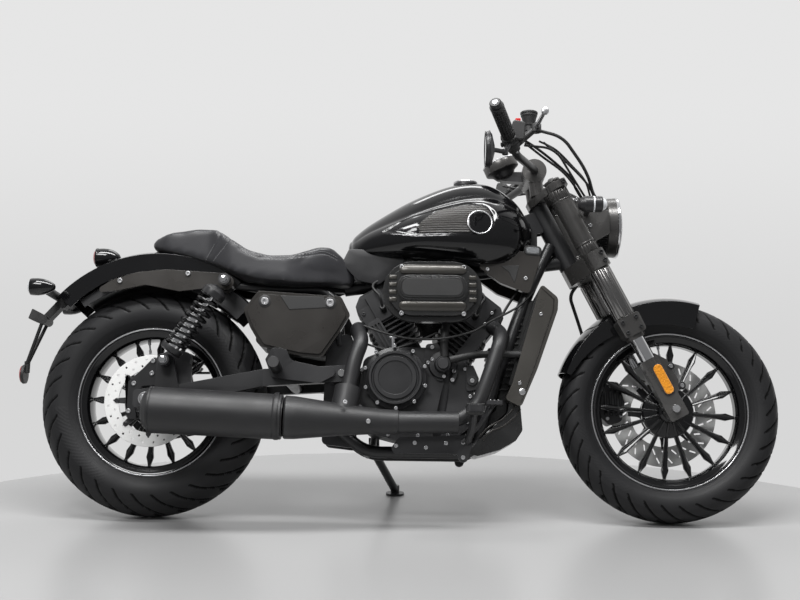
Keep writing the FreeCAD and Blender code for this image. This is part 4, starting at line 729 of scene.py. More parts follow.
# ---- headlamp, signals and bars ----
def build_headlamp():
    lamp = fork(CLAMP_TOP - 165, 92.3)
    shell = Shape("headlamp_ribs", "satin_black", "steering", slot="fork_grey", angle=25)
    for i in range(72):
        t = 2 * pi * i / 72
        out = V3(0, cos(t), sin(t))
        across = V3(0, -sin(t), cos(t))
        shell.grid([[lamp + X * x + out * r + across * w for r, w in ((54, -1.4), (top, -1.1), (top, 1.1),
                (54, 1.4))] for x, top in ((-20, 74), (-16, 79), (-3, 81), (0, 81))], loop=True, cap=True)
    hoop = Shape("headlamp_hoop", "chrome", "steering", slot="fork_grey")
    hoop.lathe([(27, 84.5), (29, 86.5), (33, 86.8), (36, 85), (37, 81), (35, 78.5)], lamp, X, 96)
    ends = [upright(v).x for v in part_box("headlamp_lens")]
    face = min(ends) - lamp.x
    inside = Shape("headlamp_bowl", "alloy", "steering", slot="fork_grey")
    inside.lathe([(face + 1, 78), (face + 2, 60), (face + 1, 20), (face + 1, 0)], lamp, X, 64)
    glass = Shape("headlamp_glass", "lens_clear", "steering", angle=50, replaces=("headlamp_lens",))
    deep = max(ends) - min(ends)
    outer = [(0, 80), (deep * 0.35, 79), (deep * 0.62, 70), (deep * 0.84, 50), (deep * 0.96, 26), (deep, 0)]
    inner = [(deep - 2.5, 0), (deep * 0.96 - 2.5, 26), (deep * 0.84 - 2.5, 49), (deep * 0.62 - 2.5, 68),
            (deep * 0.35 - 1, 76), (0, 77)]
    glass.lathe(outer + inner, lamp + X * face, X, 96, ring=True)
    unit = Shape("headlamp_unit", "black_plastic", "steering", slot="fork_grey")
    unit.lathe([(face, 62), (face + 7, 60), (face + 7, 52), (face + 3, 50)], lamp, X, 64)
    unit.rod(lamp + V3(face, 0, 14) - X * 1, lamp + V3(face + 10, 0, 14), 24, 40, 2)
    unit.rod(lamp + V3(face, 0, -26) - X * 1, lamp + V3(face + 8, 0, -26), 18, 40, 2)
    eyes = Shape("headlamp_eyes", "lens_white", "steering")
    eyes.lathe([(face + 9, 20), (face + 12, 14), (face + 14, 0)], lamp + Z * 14, X, 40)
    eyes.lathe([(face + 7, 14), (face + 9, 10), (face + 11, 0)], lamp - Z * 26, X, 40)
    trim = Shape("headlamp_bolts", "alloy", "steering")
    for y in (-89.5, 89.5):
        trim.bolts(y, ((454, 885), (493, 812)), 5.5, 4)


def build_signals():
    centre = fork(CLAMP_TOP - 118, 40)
    lens = Shape("front_signal_lenses", "lens_white", "steering", angle=50)
    for side in (-1, 1):
        c = V3(centre.x, side * 200, centre.z)
        lens.lathe([(8, 22.4), (28, 20.4), (42, 14), (46, 6), (46, 0)], c, X, 48)


def build_bars():
    dark = Shape("bar_controls", "black_plastic", "steering")
    silver = Shape("bar_bright", "alloy", "steering")
    red = Shape("stop_switch", "switch_red", "steering")
    grip = Shape("grip_rubber", "soft_rubber", "steering", angle=30, replaces=("grips",))
    for side in (-1, 1):
        o = BARS + V3(-130, side * 418, 65)
        d = V3(-42, side * 114, 48).normalized()

        def ribs(rr, t):
            return rr + (0.9 if cos(16 * t) > 0.1 else -0.2) if rr > 17.4 and rr < 17.7 else rr

        profile = [(-121, 12), (-121, 22), (-117, 22), (-115, 17.6)]
        for k in range(12):
            a = -112 + k * 8.4
            profile += [(a, 17.6), (a + 5.6, 17.6), (a + 6.0, 16.8), (a + 8.0, 16.8)]
        profile += [(-10, 17.6), (-6, 19), (2, 19), (4, 17), (4, 11)]
        grip.lathe(profile, o, d, 96, ring=True, radius=ribs)
        dark.lathe([(4, 10), (4, 15), (8, 16.5), (16, 15.5), (19, 13), (19, 7)], o, d, 48)
        silver.lathe([(18, 8), (20, 8), (20.6, 7), (20.6, 3), (19, 3), (19, 0)], o, d, 32)
        pod = o - d * 139
        house = pod + V3(16, side * 8, 22)
        dark.slab([(-20, -24, 8), (18, -28, 8), (22, 22, 10), (-12, 28, 10)],
                lambda a, b, t: house + X * a + Z * b + Y * t, -20, 20, 3.0)
        red_p = house + V3(2, side * 6, 26)
        if side < 0:
            red.slab(rect(-7, -6, 7, 6, 2), lambda a, b, t: red_p + X * a + Y * b + Z * t, -2, 8, 1.5)
        for a, w in ((-12, 5), (4, 4)):
            dark.slab(rect(-w, -w, w, w, 1.5), lambda p, q, t: pod + X * (t - 26) + Z * (a + p * 0.8) - d * q, 0, 6)
        # split line and screw of the switch housing
        dark.lathe([(-1, 23.2), (0, 24), (1, 23.2)], pod, d, 48)
        silver.bolt(o - d * 164 + V3(10, 0, -15), -Z, 3.5, 3)
        pivot = BARS + V3(-16, side * 264, 60)
        dark.hex(pivot + Z * 9, Z, 6, 6)
        lever = [(0, 8), (8, 7.4), (30, 6.2), (60, 5.6), (100, 5.0), (112, 5.2), (116, 8.2), (122, 10.4),
                (128, 8.6), (132, 0)]
        silver.lathe(lever, pivot, BARS + V3(-3, side * 392, 66) - pivot, 28)
    tank_foot = BARS + V3(-33, -258, 66)
    dark.lathe([(33, 22.6), (34, 23.4), (38, 23.4), (39.5, 22), (39.5, 0)], tank_foot, Z, 48)
    for a, b in ((-12, -12), (12, 12)):
        silver.bolt(tank_foot + V3(a, b, 39.5), Z, 2.6, 1.2)
    strands = Shape("bar_cable_strands", "soft_rubber", "steering")
    for r, *line in ((3.6, (276, 250, 1017), (332, 215, 995), (395, 160, 965), (440, 110, 940), (457, 76, 918),
            (490, 44, 882), (522, 26, 868)), (3.2, (351, 230, 1005), (402, 170, 985), (462, 110, 950), (496, 70, 925),
            (516, 44, 890), (526, 30, 868)), (3.2, (300, 240, 1000), (350, 200, 975), (410, 150, 948),
            (452, 100, 918), (480, 66, 888), (512, 40, 868)), (2.8, (340, 220, 1012), (390, 180, 1000),
            (440, 130, 970), (480, 90, 940), (500, 56, 900), (516, 36, 868))):
        for side in (-1, 1):
            strands.tube(spline([(x, side * y, z) for x, y, z in line], 8), r, 10)
    # mirror glass and rims
    glass = Shape("mirror_glass", "mirror_glass", "steering")
    rim = Shape("mirror_rims", "satin_black", "steering")
    for side in (-1, 1):
        c = BARS + V3(-147, side * 372, -34)
        glass.lathe([(-8.4, 43), (-9.2, 30), (-9.4, 0)], c, X, 64)
        rim.lathe([(-8.5, 46), (-10.5, 47), (-10.5, 44), (-8.4, 43)], c, X, 64)
        rim.lathe([(-2, 47.4), (0, 48.8), (2, 48.2)], c, X, 64)


def build_gauge():
    top = BARS + V3(-94, 0, 36)
    axis = V3(-0.40, 0, 0.92).normalized()
    up = axis.cross(Y).normalized()
    ring = Shape("gauge_rim", "fork_grey", "steering")
    ring.lathe([(-22, 48.2), (-20, 49.4), (3, 49.4), (6, 48), (6, 45), (3.2, 43.5)], top, axis, 96)
    edge = Shape("gauge_edge", "alloy", "steering")
    edge.lathe([(2, 49.6), (4, 50), (6.4, 48.4), (6.4, 46)], top, axis, 96)
    dial = Shape("gauge_dial", "black_plastic", "steering")
    dial.lathe([(4.2, 44), (4.2, 0)], top, axis, 64)

    def bar(shape, deg, height, r0, w0, r1, w1):
        """A flat bar on the dial from radius r0 to r1, w0 and w1 wide to each side."""
        t = radians(deg)
        out = up * cos(t) - Y * sin(t)
        across = axis.cross(out).normalized()
        c = top + axis * height
        shape.grid([[c + out * r - across * w, c + out * r + across * w] for r, w in ((r0, w0), (r1, w1))])

    ticks = Shape("gauge_marks", "dial_white", "steering")
    for i in range(41):
        long = i % 5 == 0
        w = 0.8 if long else 0.4
        bar(ticks, -130 + 260 * i / 40, 4.5, 33 if long else 36.5, w, 40, w)
    ticks.slab(rect(-15, -17, 15, -3, 2), lambda a, b, t: top + Y * a + up * b + axis * t, 4.3, 4.8, 0.1)
    needle = Shape("gauge_needle", "switch_red", "steering")
    bar(needle, -118, 5.4, -7, 1.2, 36, 0.5)
    needle.lathe([(4.4, 5), (7, 4), (7.4, 0)], top, axis, 24)


# ---- tank ----
# cross-sections: x, then height and half width of the floor, the waist and the shoulder, and the height of the top
TANK = [(-172, 735, 26, 750, 40, 762, 34, 778), (-158, 724, 44, 744, 62, 768, 52, 796),
        (-110, 717, 64, 748, 93, 794, 70, 833), (0, 714, 92, 759, 132, 836, 92, 898),
        (120, 706, 112, 772, 150, 876, 92, 944), (215, 700, 104, 780, 146, 886, 84, 944),
        (290, 716, 74, 790, 116, 860, 66, 896), (328, 760, 30, 796, 66, 822, 40, 838)]


def tank_row(station):
    """Closed cross-section of the tank from its floor round both sides."""
    x, z0, w0, zm, wm, z1, w1, top = station
    right = arc3((-w0, z0), (-wm, zm), (-w1, z1), 46)
    ring = right + arc3((-w1, z1), (0, top), (w1, z1), 56)[1:] + mirrored(right)[1:]
    # ease the two shoulders
    for _ in range(3):
        eased = [ring[0]]
        for i in range(1, len(ring) - 1):
            eased.append(((ring[i - 1][0] + 2 * ring[i][0] + ring[i + 1][0]) / 4,
                    (ring[i - 1][1] + 2 * ring[i][1] + ring[i + 1][1]) / 4))
        ring = eased + [ring[-1]]
    floor_points = [(w0 - 2 * w0 * k / 10, z0) for k in range(1, 10)]
    return [V3(x, y, z) for y, z in ring + floor_points]


def away(q, outline):
    """How far a flat point lies outside an outline; negative inside."""
    inside = False
    for a, b in zip([outline[-1]] + outline, outline):
        if (a.y > q.y) != (b.y > q.y) and q.x < a.x + (b.x - a.x) * (q.y - a.y) / (b.y - a.y):
            inside = not inside
    far = min(gap(q, a, b) for a, b in zip([outline[-1]] + outline, outline))
    return -far if inside else far


def build_tank():
    pts = [TANK[0]] + TANK + [TANK[-1]]
    stations = [[curve(*values, k / 26) for values in zip(*pts[i:i + 4])] for i in range(len(TANK) - 1)
            for k in range(26)]
    rows = [tank_row(s) for s in stations + [TANK[-1]]]

    def inset(row, scale, dx):
        mid = sum(row, Vector()) / len(row)
        return [V3(p.x + dx, mid.y + (p.y - mid.y) * scale, mid.z + (p.z - mid.z) * scale) for p in row]

    rows = [inset(rows[0], s, d) for s, d in ((0.02, -9), (0.4, -8.6), (0.64, -7.2), (0.82, -5), (0.93, -2.6))] + rows
    rows += [inset(rows[-1], s, d) for s, d in ((0.97, 2.5), (0.88, 5), (0.6, 7), (0.02, 8))]
    shape = Shape("tank_shell", "gloss_black", inlay="panel_grey", angle=70, replaces=("fuel_tank",))
    recess = rounded([(-92, 783, 6), (-10, 830, 120), (75, 852, 60), (150, 870, 60), (205, 866, 40), (232, 832, 30),
            (222, 786, 34), (180, 768, 30), (12, 766, 20)], 8)
    panel = rounded([(14, 800, 16), (62, 842, 40), (145, 861, 30), (200, 855, 30), (220, 825, 30), (210, 786, 30),
            (180, 774, 20), (16, 773, 12)], 6)
    for row in rows:
        for p in row:
            if abs(p.y) < 60:
                continue
            q = Vector((p.x, p.z))
            deep = 4.2 * (1 - smooth(-6, 0.5, away(q, recess))) - 1.2 * (1 - smooth(-2, 0, away(q, panel)))
            p.y += deep if p.y < 0 else -deep
    shape.grid(rows, loop=True)
    for i, face in enumerate(shape.faces):
        mid = sum((shape.verts[k] for k in face), Vector()) / 4
        if abs(mid.y) > 60 and away(Vector((mid.x, mid.z)), panel) < -1:
            shape.marks[i] = 1
    surface = BVHTree.FromPolygons([v.copy() for v in shape.verts], shape.faces)
    ring = Shape("badge_rings", "alloy")
    plate = Shape("badge_discs", "gloss_black")
    for side in (-1, 1):
        spot, normal = surface.ray_cast(V3(184, side * 400, 804), V3(0, -side, 0))[:2]
        normal = normal if normal.y * side > 0 else -normal
        ring.lathe([(-1, 31), (-1, 35), (2.2, 34.5), (2.8, 33), (2.2, 31.6), (0.8, 31)], spot, normal, 96, ring=True)
        plate.lathe([(-1.5, 31.5), (0.8, 31.5), (1.6, 28), (1.8, 0)], spot, normal, 64)
    skirt = Shape("tank_tail_cover", "satin_black", slot="black_plastic", angle=40)
    mid = Vector((-110, 694))
    outline = rounded([(-196, 700, 14), (-176, 742, 10), (-20, 734, 20), (-30, 690, 20), (-92, 640, 20),
            (-150, 652, 16)])
    for side in (-1, 1):
        rows = []
        for y, s in ((52, 0.90), (66, 0.97), (74, 1.0), (77, 0.99), (78, 0.90), (78, 0.5), (78, 0.1)):
            rows.append([V3(q.x, side * y, q.y) for q in [mid + (q - mid) * s for q in outline]])
        skirt.grid(rows, loop=True, cap=True)
    cap = Shape("filler_lid", "alloy", slot="satin_black")
    top = V3(150, 0, 954)
    cap.lathe([(-4, 33), (0, 34.5), (1.5, 34), (3, 31), (3, 29), (1.8, 28), (1.8, 12), (4, 11), (4, 0)], top, Z, 64)
    cap.slab(rect(-3, -9, 3, 9, 1), lambda a, b, t: top + V3(a, b, t), 4, 5, 0.4)


# ---- seat ----
# seams as (x, z) points; those over the hump stay at one x above HUMP_TOP
HUMP_SEAMS = [((-563, 699), (-529, 762)), ((-549, 697), (-498, 757))]
HUMP_TOP = 757
FLANK_SEAM = [Vector(p) for p in ((-474, 731), (-458, 720), (-421, 703), (-352, 699), (-283, 711),
        (-242, 719), (-206, 708))]
SEAM_HALF = 4.5
SKIN_MOVE = 0.004   # most that the pressed cover may move, in metres


def seam_x(seam, z):
    """Where a seam over the hump stands at height z."""
    (x0, z0), (x1, z1) = seam
    return x0 + (x1 - x0) * (min(z, HUMP_TOP) - z0) / (z1 - z0)


def build_seat():
    mesh = nodes["seat"].data.copy()
    mesh.name = "seat_pad"
    obj = piece("seat_pad", mesh, "chassis", ["vinyl"], replaces=("seat",))
    merge = bmesh.new()
    merge.from_mesh(mesh)
    bmesh.ops.remove_doubles(merge, verts=merge.verts, dist=1e-5)
    merge.to_mesh(mesh)
    merge.free()
    remesh = obj.modifiers.new("remesh", "REMESH")
    remesh.mode = "VOXEL"
    remesh.voxel_size = 0.006
    ease = obj.modifiers.new("ease", "SMOOTH")
    ease.factor = 0.5
    ease.iterations = 14
    bake(obj)
    before = [v.co.copy() for v in obj.data.vertices]
    cloth = obj.modifiers.new("cloth", "CLOTH")
    cloth.settings.use_pressure = True
    cloth.settings.uniform_pressure_force = 4.0
    cloth.settings.effector_weights.gravity = 0.0
    cloth.settings.quality = 5
    cloth.point_cache.frame_start = 1
    cloth.point_cache.frame_end = 20
    scene = bpy.context.scene
    for f in range(1, 21):
        scene.frame_set(f)
    bake(obj)
    scene.frame_set(1)
    # the foam under the skin spreads its creases, so the skin's moves are averaged over their neighbours
    moves = [v.co - old for v, old in zip(obj.data.vertices, before)]
    linked = [[] for _ in moves]
    for edge in obj.data.edges:
        i, j = edge.vertices
        linked[i].append(j)
        linked[j].append(i)
    for _ in range(24):
        moves = [sum((moves[j] for j in near), m) / (len(near) + 1) for m, near in zip(moves, linked)]
    for v, old, move in zip(obj.data.vertices, before, moves):
        v.co = old + move * min(1.0, SKIN_MOVE / max(move.length, 1e-9))
    # sewn seams: two over the hump and one along the top of each flank
    for v in obj.data.vertices:
        p = upright(v.co)
        q = Vector((p.x, p.z))
        groove = 0.0
        for seam in HUMP_SEAMS:
            groove += 2.0 * max(0.0, 1 - abs(p.x - seam_x(seam, p.z)) / SEAM_HALF) if p.z > 694 else 0.0
        if abs(p.y) > 50:
            near = min(gap(q, a, b) for a, b in zip(FLANK_SEAM, FLANK_SEAM[1:]))
            groove += 1.8 * max(0.0, 1 - near / SEAM_HALF)
        v.co -= Vector(v.normal) * (groove / 1000)
    obj.data.polygons.foreach_set("use_smooth", [True] * len(obj.data.polygons))
    obj.data.materials.clear()
    obj.data.materials.append(M["vinyl"])
    split = obj.modifiers.new("split", "SUBSURF")
    split.levels = 1
    split.render_levels = 1
    bake(obj)
    verts = [upright(v.co) for v in obj.data.vertices]
    surface = BVHTree.FromPolygons(verts, [tuple(p.vertices) for p in obj.data.polygons])
    thread = Shape("seat_stitching", "thread_grey")

    def stitch(points, way):
        """Every second step along the points, dropped on to the skin, becomes a stitch."""
        count = 0
        last = None
        for p in points:
            spot, normal = surface.ray_cast(p, Vector(way))[:2]
            if spot is None:
                last = None
                continue
            q = spot + normal * 0.3
            if last is not None and (q - last).length > 0.5:
                if count % 2 == 0:
                    thread.tube([last, q], 0.75, 6)
                count += 1
            last = q

    for seam, off in zip(HUMP_SEAMS, (-6, 3)):
        for side in (-1, 1):
            stitch([V3(seam_x(seam, z) + off, side * 400, z) for z in range(696, 744, 2)], (0, -side, 0))
        stitch([V3(seam_x(seam, 748) + off, y, 900) for y in range(-66, 67, 3)], (0, 0, -1))
    flank = spline([(x, z, 0) for x, z in FLANK_SEAM], 14)
    for side in (-1, 1):
        for off in (-4, 4):
            stitch([V3(p.x, side * 400, p.y + off) for p in flank], (0, -side, 0))


# ---- engine and covers ----
def build_engine():
    black = Shape("engine_bolts", "engine_black")
    silver = Shape("engine_bright_bolts", "alloy")
    rubber = Shape("leads", "soft_rubber")
    for k in range(10):
        t = 2 * pi * k / 10 + 0.35
        silver.bolt(V3(-42 + 84 * cos(t), -139, 378 + 84 * sin(t)), -Y, 5.2, 4)
    # pump
    for t in (0.6, 2.7, 4.8):
        silver.bolt(V3(86 + 32 * cos(t), -124, 414 + 32 * sin(t)), -Y, 5, 6)
    silver.bolts(-118, ((57, 462), (116, 398), (112, 374), (46, 420)), 5.5, 4)
    # case bolts round its edge, right and left
    rim = ((-136, 300), (-132, 400), (-60, 226), (20, 224), (100, 226), (152, 262), (160, 330), (146, 404))
    silver.bolts(-110, rim, 5, 5)
    silver.bolts(76, rim, 5, 5)
    silver.bolt(V3(165, -120, 372), -Y, 6, 4)
    silver.bolts(-74, ((221, 565), (202, 534)), 5, 4)
    for k in range(9):
        t = 2 * pi * k / 9
        black.bolt(V3(70 + 80 * cos(t), 118, 340 + 80 * sin(t)), Y, 5, 6)
    # oil filter and drain plug
    black.lathe([(0, 30), (14, 31), (30, 30), (34, 26), (34, 0)], V3(132, 0, 262), X * 0.6 - Z * 0.8, 40)
    silver.hex(V3(20, -40, 214), -Z, 9, 7)
    # banks: head bolts, plug caps and leads
    base = V3(35, 0, 365)
    head = 204   # up a bank, where the barrel ends
    for deg, lean, reach in ((38.0, -1, -40), (-30.0, 1, 20)):
        tilt = radians(deg)
        up = V3(sin(tilt), 0, cos(tilt))
        across = V3(cos(tilt), 0, -sin(tilt))
        for side in (-1, 1):
            for a in (-48, 48):
                for s in (head + 12, head + 48):
                    black.bolt(base + up * s + across * a + Y * side * 66, Y * side, 5, 4)
            for a in (-25.3, 25.3):
                black.hex(base + up * (head + 78) + across * a + Y * side * 40, up, 5.5, 6)
            plug = base + up * (head + 28) + across * 6 * lean + Y * side * 72
            rubber.rod(plug - Y * side * 4, plug + Y * side * 18 + up * 10, 8.5, 20, 2)
            lead = [plug + Y * side * 14 + up * 8, plug + Y * side * 30 + up * 40 + X * 8 * lean,
                    plug + Y * side * 6 + up * 90 + X * reach, V3(40, side * 26, 706)]
            rubber.tube(spline(lead, 8), 3.6, 10)
    # thin cable over the clutch cover and up to the neck
    for line, r in (([(-130, -112, 520), (-72, -128, 498), (-4, -140, 482), (78, -158, 480), (160, -150, 500),
            (214, -120, 534), (290, -84, 580), (337, -70, 626)], 3.2),
            ([(-120, -104, 470), (-60, -122, 455), (10, -128, 474), (70, -132, 500)], 3.0)):
        rubber.tube(spline(line, 8), r, 10)
    # finned rectifier ahead of the case and its harness
    unit = Shape("rectifier", "engine_black")
    unit.side([(212, 474, 8), (258, 474, 8), (264, 330, 10), (240, 292, 10), (206, 300, 10),
            (200, 350, 10)], -34, 34, 3)
    for k in range(9):
        z = 340 + 15 * k
        unit.side(rect(206, z, 261, z + 5, 1), -42, 42, 0.8)
    back = Shape("radiator_shroud", "radiator_core")
    back.side([(296, 586, 6), (340, 606, 4), (272, 366, 4), (262, 290, 10), (206, 238, 12), (196, 262, 10),
            (230, 300, 16), (246, 372, 10)], -66, 66, 3)
    for k in range(12):
        z = 352 + 18 * k
        x = 244 + (z - 372) * 0.22
        back.side(rect(x, z, x + 26, z + 5, 1), -72, 72, 0.8)
    mount = Shape("engine_mount_plate", "fork_grey", slot="bare_steel")
    mount.side([(150, 408, 5), (168, 417, 5), (184, 380, 8), (179, 343, 6), (155, 338, 6), (136, 365, 8),
            (141, 389, 8)], -104, -99, 1.2)
    silver.rod(V3(-50, -88, 462), V3(-50, -88, 496), 6, 20, 1.5)
    silver.rod(V3(-60, -88, 492), V3(-40, -88, 492), 5, 20, 1.5)
    loom = Shape("front_loom", "soft_rubber")
    for k in range(3):
        loom.tube(spline([(236 + 6 * k, -30, 470), (228 + 8 * k, -50, 500), (250, -60 - 4 * k, 560),
                (300, -52, 640)], 8), 3.4, 10)
    starter = Shape("starter_motor", "engine_black")
    starter.rod(V3(108, -94, 336), V3(108, 20, 336), 27, 40, 3)


def build_air_cleaner():
    band = Shape("air_cleaner_bands", "cover_bronze", angle=50)
    plaque = Shape("air_cleaner_plaque", "cover_black")
    rim = Shape("air_cleaner_rims", "cover_black", angle=40)
    trim = Shape("air_cleaner_badge", "black_plastic", slot="bronze_grey")
    silver = Shape("air_cleaner_bolts", "alloy")
    for side in (-1, 1):
        y = side * 196
        plaque.side(rect(-38, 578, 148, 646, 34), y, y + side * 4, 1.6)
        rim.side(rect(-32, 584, 142, 640, 28), y + side * 3, y + side * 8, 1.4)
        trim.side(rect(-26, 589, 136, 635, 23), y + side * 4.5, y + side * 8.8, 0.5)
        # swollen bands above and below the badge, narrower towards their ends
        section = [(0, 0), (4, 4.5), (11, 7.5), (19, 8.5), (25, 7.5), (28, 4), (28, -4), (0, -4)]
        ends = [(-34, 0.3), (-30, 0.75), (-22, 0.95), (-8, 1), (120, 1), (134, 0.95), (142, 0.75), (146, 0.3)]
        for z0, turn in ((676, -1), (548, 1)):
            band.grid([[V3(x, side * (189.5 + up * f), z0 + turn * (14 + (down - 14) * f)) for down, up in section]
                    for x, f in ends], loop=True, cap=True)
        silver.bolts(side * 190, ((-27, 668), (139, 668), (-27, 542), (139, 542)), 6, 5)
        # cooling slots at both ends
        for end in (-1, 1):
            for k in range(4):
                z = 574 + k * 20
                band.side(rect(56 + end * 96, z, 56 + end * 117, z + 12, 3), side * 187, side * 193.5, 2)


def build_covers():
    silver = Shape("cover_bolts", "alloy")
    dark = Shape("cover_recesses", "black_plastic")
    trim = Shape("radiator_borders", "bronze_grey")
    for side in (-1, 1):
        for x, z in ((-397, 578), (-220, 575)):
            silver.bolt(V3(x, side * 150, z), Y * side, 11, 5)
            dark.lathe([(-1, 17), (0.8, 17), (1.6, 15), (1.6, 10)], V3(x, side * 150, z), Y * side, 40)
        dark.side([(-356, 594, 3), (-238, 592, 3), (-230, 562, 4), (-330, 556, 3)], side * 149.5, side * 151.5, 0.7)
        # neck panels
        silver.bolts(side * 92, ((208, 684), (313, 660)), 5.5, 3)
        dark.side([(244, 694, 2), (296, 696, 2), (282, 645, 2), (268, 676, 2)], side * 91.5, side * 93.2, 0.6)
        silver.bolts(side * 127.5, ((350, 554), (292, 366)), 5, 3)
        silver.lathe([(-1, 9), (1.5, 9), (2.5, 7), (2.5, 0)], V3(299, side * 127.5, 343), Y * side, 32)
        # raised borders of the radiator cover
        trim.tube([V3(x, side * 128, z) for x, z in ((352, 628), (386, 596), (384, 566), (330, 408),
                (296, 318))], 1.8, 8)
        # ridges that run from the cover down into the belly pan
        for points in (((288, 322), (277, 299), (249, 272), (212, 250), (186, 224)),
                ((296, 300), (283, 280), (252, 254), (214, 236), (196, 214))):
            trim.tube(spline([(x, side * 95.5, z) for x, z in points], 8), 3.0, 10)
        # gusset between the neck and the fork
        dark.side([(300, 792, 4), (330, 812, 4), (352, 800, 4), (352, 740, 4), (336, 736, 4)],
                side * 20, side * 26, 1)
    lamp = Shape("neck_lamps", "lens_grey")
    frames = Shape("neck_lamp_frames", "black_plastic")

    def oval(a, b, t):
        return V3(333 + a, t, 738 + b - a * 0.08)

    for side in (-1, 1):
        lamp.slab(rect(-19, -9, 19, 9, 9), oval, side * 90, side * 97, 2.5)
        frames.slab(rect(-25, -14, 25, 14, 14), oval, side * 74, side * 94, 2)
    # radiator fins and tubes
    fins = Shape("radiator_fins", "radiator_core")
    low = V3(268, 0, 372)
    high = V3(372, 0, 594)
    up = (high - low).normalized()
    ahead = V3(up.z, 0, -up.x)
    length = (high - low).length
    for k in range(23):
        s = 6 + k * (length - 12) / 22
        c = low + up * s + ahead * 19
        section = [c - up * 1.6, c + ahead * 4 - up * 1.2, c + ahead * 4 + up * 1.2, c + up * 1.6]
        fins.grid([[q - Y * 92 for q in section], [q + Y * 92 for q in section]], loop=True, cap=True)


def build_exhaust():
    bolts = Shape("shield_bolts", "alloy", slot="satin_black")
    bolts.bolt(V3(-109, -222, 252), -Y, 6, 5)
    bolts.bolt(V3(-170, -226, 300), V3(0.2, -1, 0.3), 6, 5)
    end = V3(-700, -200, 278)
    begin = V3(-340, -198, 264)
    axis = (end - begin).normalized()
    ring = Shape("muffler_bands", "exhaust_black")
    ring.lathe([(-4, 62), (4, 62.6), (7, 61.6), (10, 60)], begin + axis * 8, axis, 96)
    ring.lathe([(0, 61.2), (3, 62.2), (6, 61.4)], end - axis * 22, axis, 96)
    tip = Shape("muffler_tip", "satin_black", slot="exhaust_black")
    tip.lathe([(-14, 28), (0, 29), (5, 27), (5, 23), (-12, 22)], end, axis, 64, ring=True)


# ---- rear end ----
def build_shocks():
    coil = Shape("shock_coils", "gloss_black", slot="satin_black", replaces=("shock_springs",))
    silver = Shape("shock_rods", "chrome", replaces=("shock_dampers",))
    dark = Shape("shock_ends", "satin_black")
    top = V3(-506, 0, 633)
    foot = V3(-660, 0, 414)
    up = (top - foot).normalized()
    length = (top - foot).length
    for side in (-1, 1):
        base = foot + Y * side * 165
        other = up.cross(Y).normalized()
        line = []
        turns, count, coil_r = 9.5, 260, 27
        s0, s1 = 44, length - 58
        for k in range(count + 1):
            angle = 2 * pi * turns * k / count
            line.append(base + up * (s0 + (s1 - s0) * k / count) + (Y * cos(angle) + other * sin(angle)) * coil_r)
        coil.tube(line, 5.2, 12)
        silver.lathe([(30, 8), (30, 9), (length - 30, 9), (length - 30, 8)], base, up, 32)
        dark.lathe([(24, 0), (24, 24), (28, 31), (38, 32.5), (42, 32), (42, 12)], base, up, 48)
        silver.lathe([(42, 17), (length * 0.55, 17), (length * 0.55 + 3, 14), (length * 0.55 + 3, 9)], base, up, 40)
        dark.lathe([(length - 58, 12), (length - 58, 32), (length - 50, 33), (length - 40, 32), (length - 30, 22),
                (length - 24, 12), (length - 24, 0)], base, up, 48)
        for s in (0, length):
            c = base + up * s
            dark.lathe([(-13, 8), (-13, 16), (13, 16), (13, 8)], c, Y, 40, ring=True)
            silver.hex(c + Y * side * 13, Y * side, 9, 8)


def build_tail():
    bolts = Shape("strut_bolts", "alloy")
    for side in (-1, 1):
        bolts.bolts(side * 100, ((-804, 640), (-617, 662)), 7, 5)
        bolts.hex(V3(-711, side * 138, 312), Y * side, 15, 12)
    bolts.bolts(-88, ((-704, 420), (-706, 386), (-754, 358), (-765, 283), (-632, 375)), 6.5, 5)
    carrier = Shape("caliper_carrier", "satin_black")
    carrier.side([(-770, 388, 14), (-782, 352, 12), (-733, 398, 16), (-700, 434, 10), (-672, 400, 10),
            (-687, 353, 14), (-731, 350, 10), (-746, 329, 10), (-749, 302, 10), (-740, 260, 12), (-770, 262, 12),
            (-776, 300, 16)], -84, -89, 1.5)
    hoop = REAR + V3(11, 0, 38)
    out = spoke(radians(113.3))[0]
    crown = hoop + out * FENDER_R
    centre = crown + out * 20 - X * 46
    red = Shape("tail_lens", "lens_red", angle=60)
    red.lathe([(1, 0), (1.6, 12), (4, 20), (10, 25.4)], centre, X, 56)
    egg = Shape("tail_lamp_body", "gloss_black", slot="satin_black", angle=40, replaces=("tail_lamp",))
    egg.lathe([(8, 24), (9, 27), (13, 27.6), (14, 26.4), (30, 27), (44, 25.6), (56, 22), (66, 16.5), (74, 9.5),
            (79, 0)], centre, X, 64)
    egg.side([(crown.x - 32, crown.z - 16, 4), (crown.x + 8, crown.z - 14, 4), (crown.x + 2, crown.z + 16, 6),
            (crown.x - 22, crown.z + 16, 6)], -11, 11, 2)
    tip = hoop + spoke(radians(135.6))[0] * (FENDER_R - 6)
    beam = tip + V3(-28, 0, -8)
    lens = Shape("rear_signal_lenses", "lens_white", angle=50)
    shell = Shape("rear_signal_bodies", "gloss_black", slot="satin_black", angle=40, replaces=("rear_signals",))
    for side in (-1, 1):
        at_end = beam + Y * side * 160
        lens.lathe([(-37, 0), (-36.4, 9), (-34, 16), (-28, 22)], at_end, X, 48)
        shell.lathe([(-29, 20), (-28.6, 22.6), (-24, 23.4), (-8, 23.6), (6, 21.6), (18, 17.6), (29, 12), (36, 7),
                (38, 0)], at_end, X, 48)
        shell.rod(at_end, at_end - Y * side * 20, 11, 28, 1)
    glow = Shape("rear_reflector", "lens_red", slot="black_plastic", angle=50)
    glow.lathe([(4, 24), (9, 24), (10.5, 22), (10.5, 0)], tip + V3(-108, 0, -228), -X, 48)


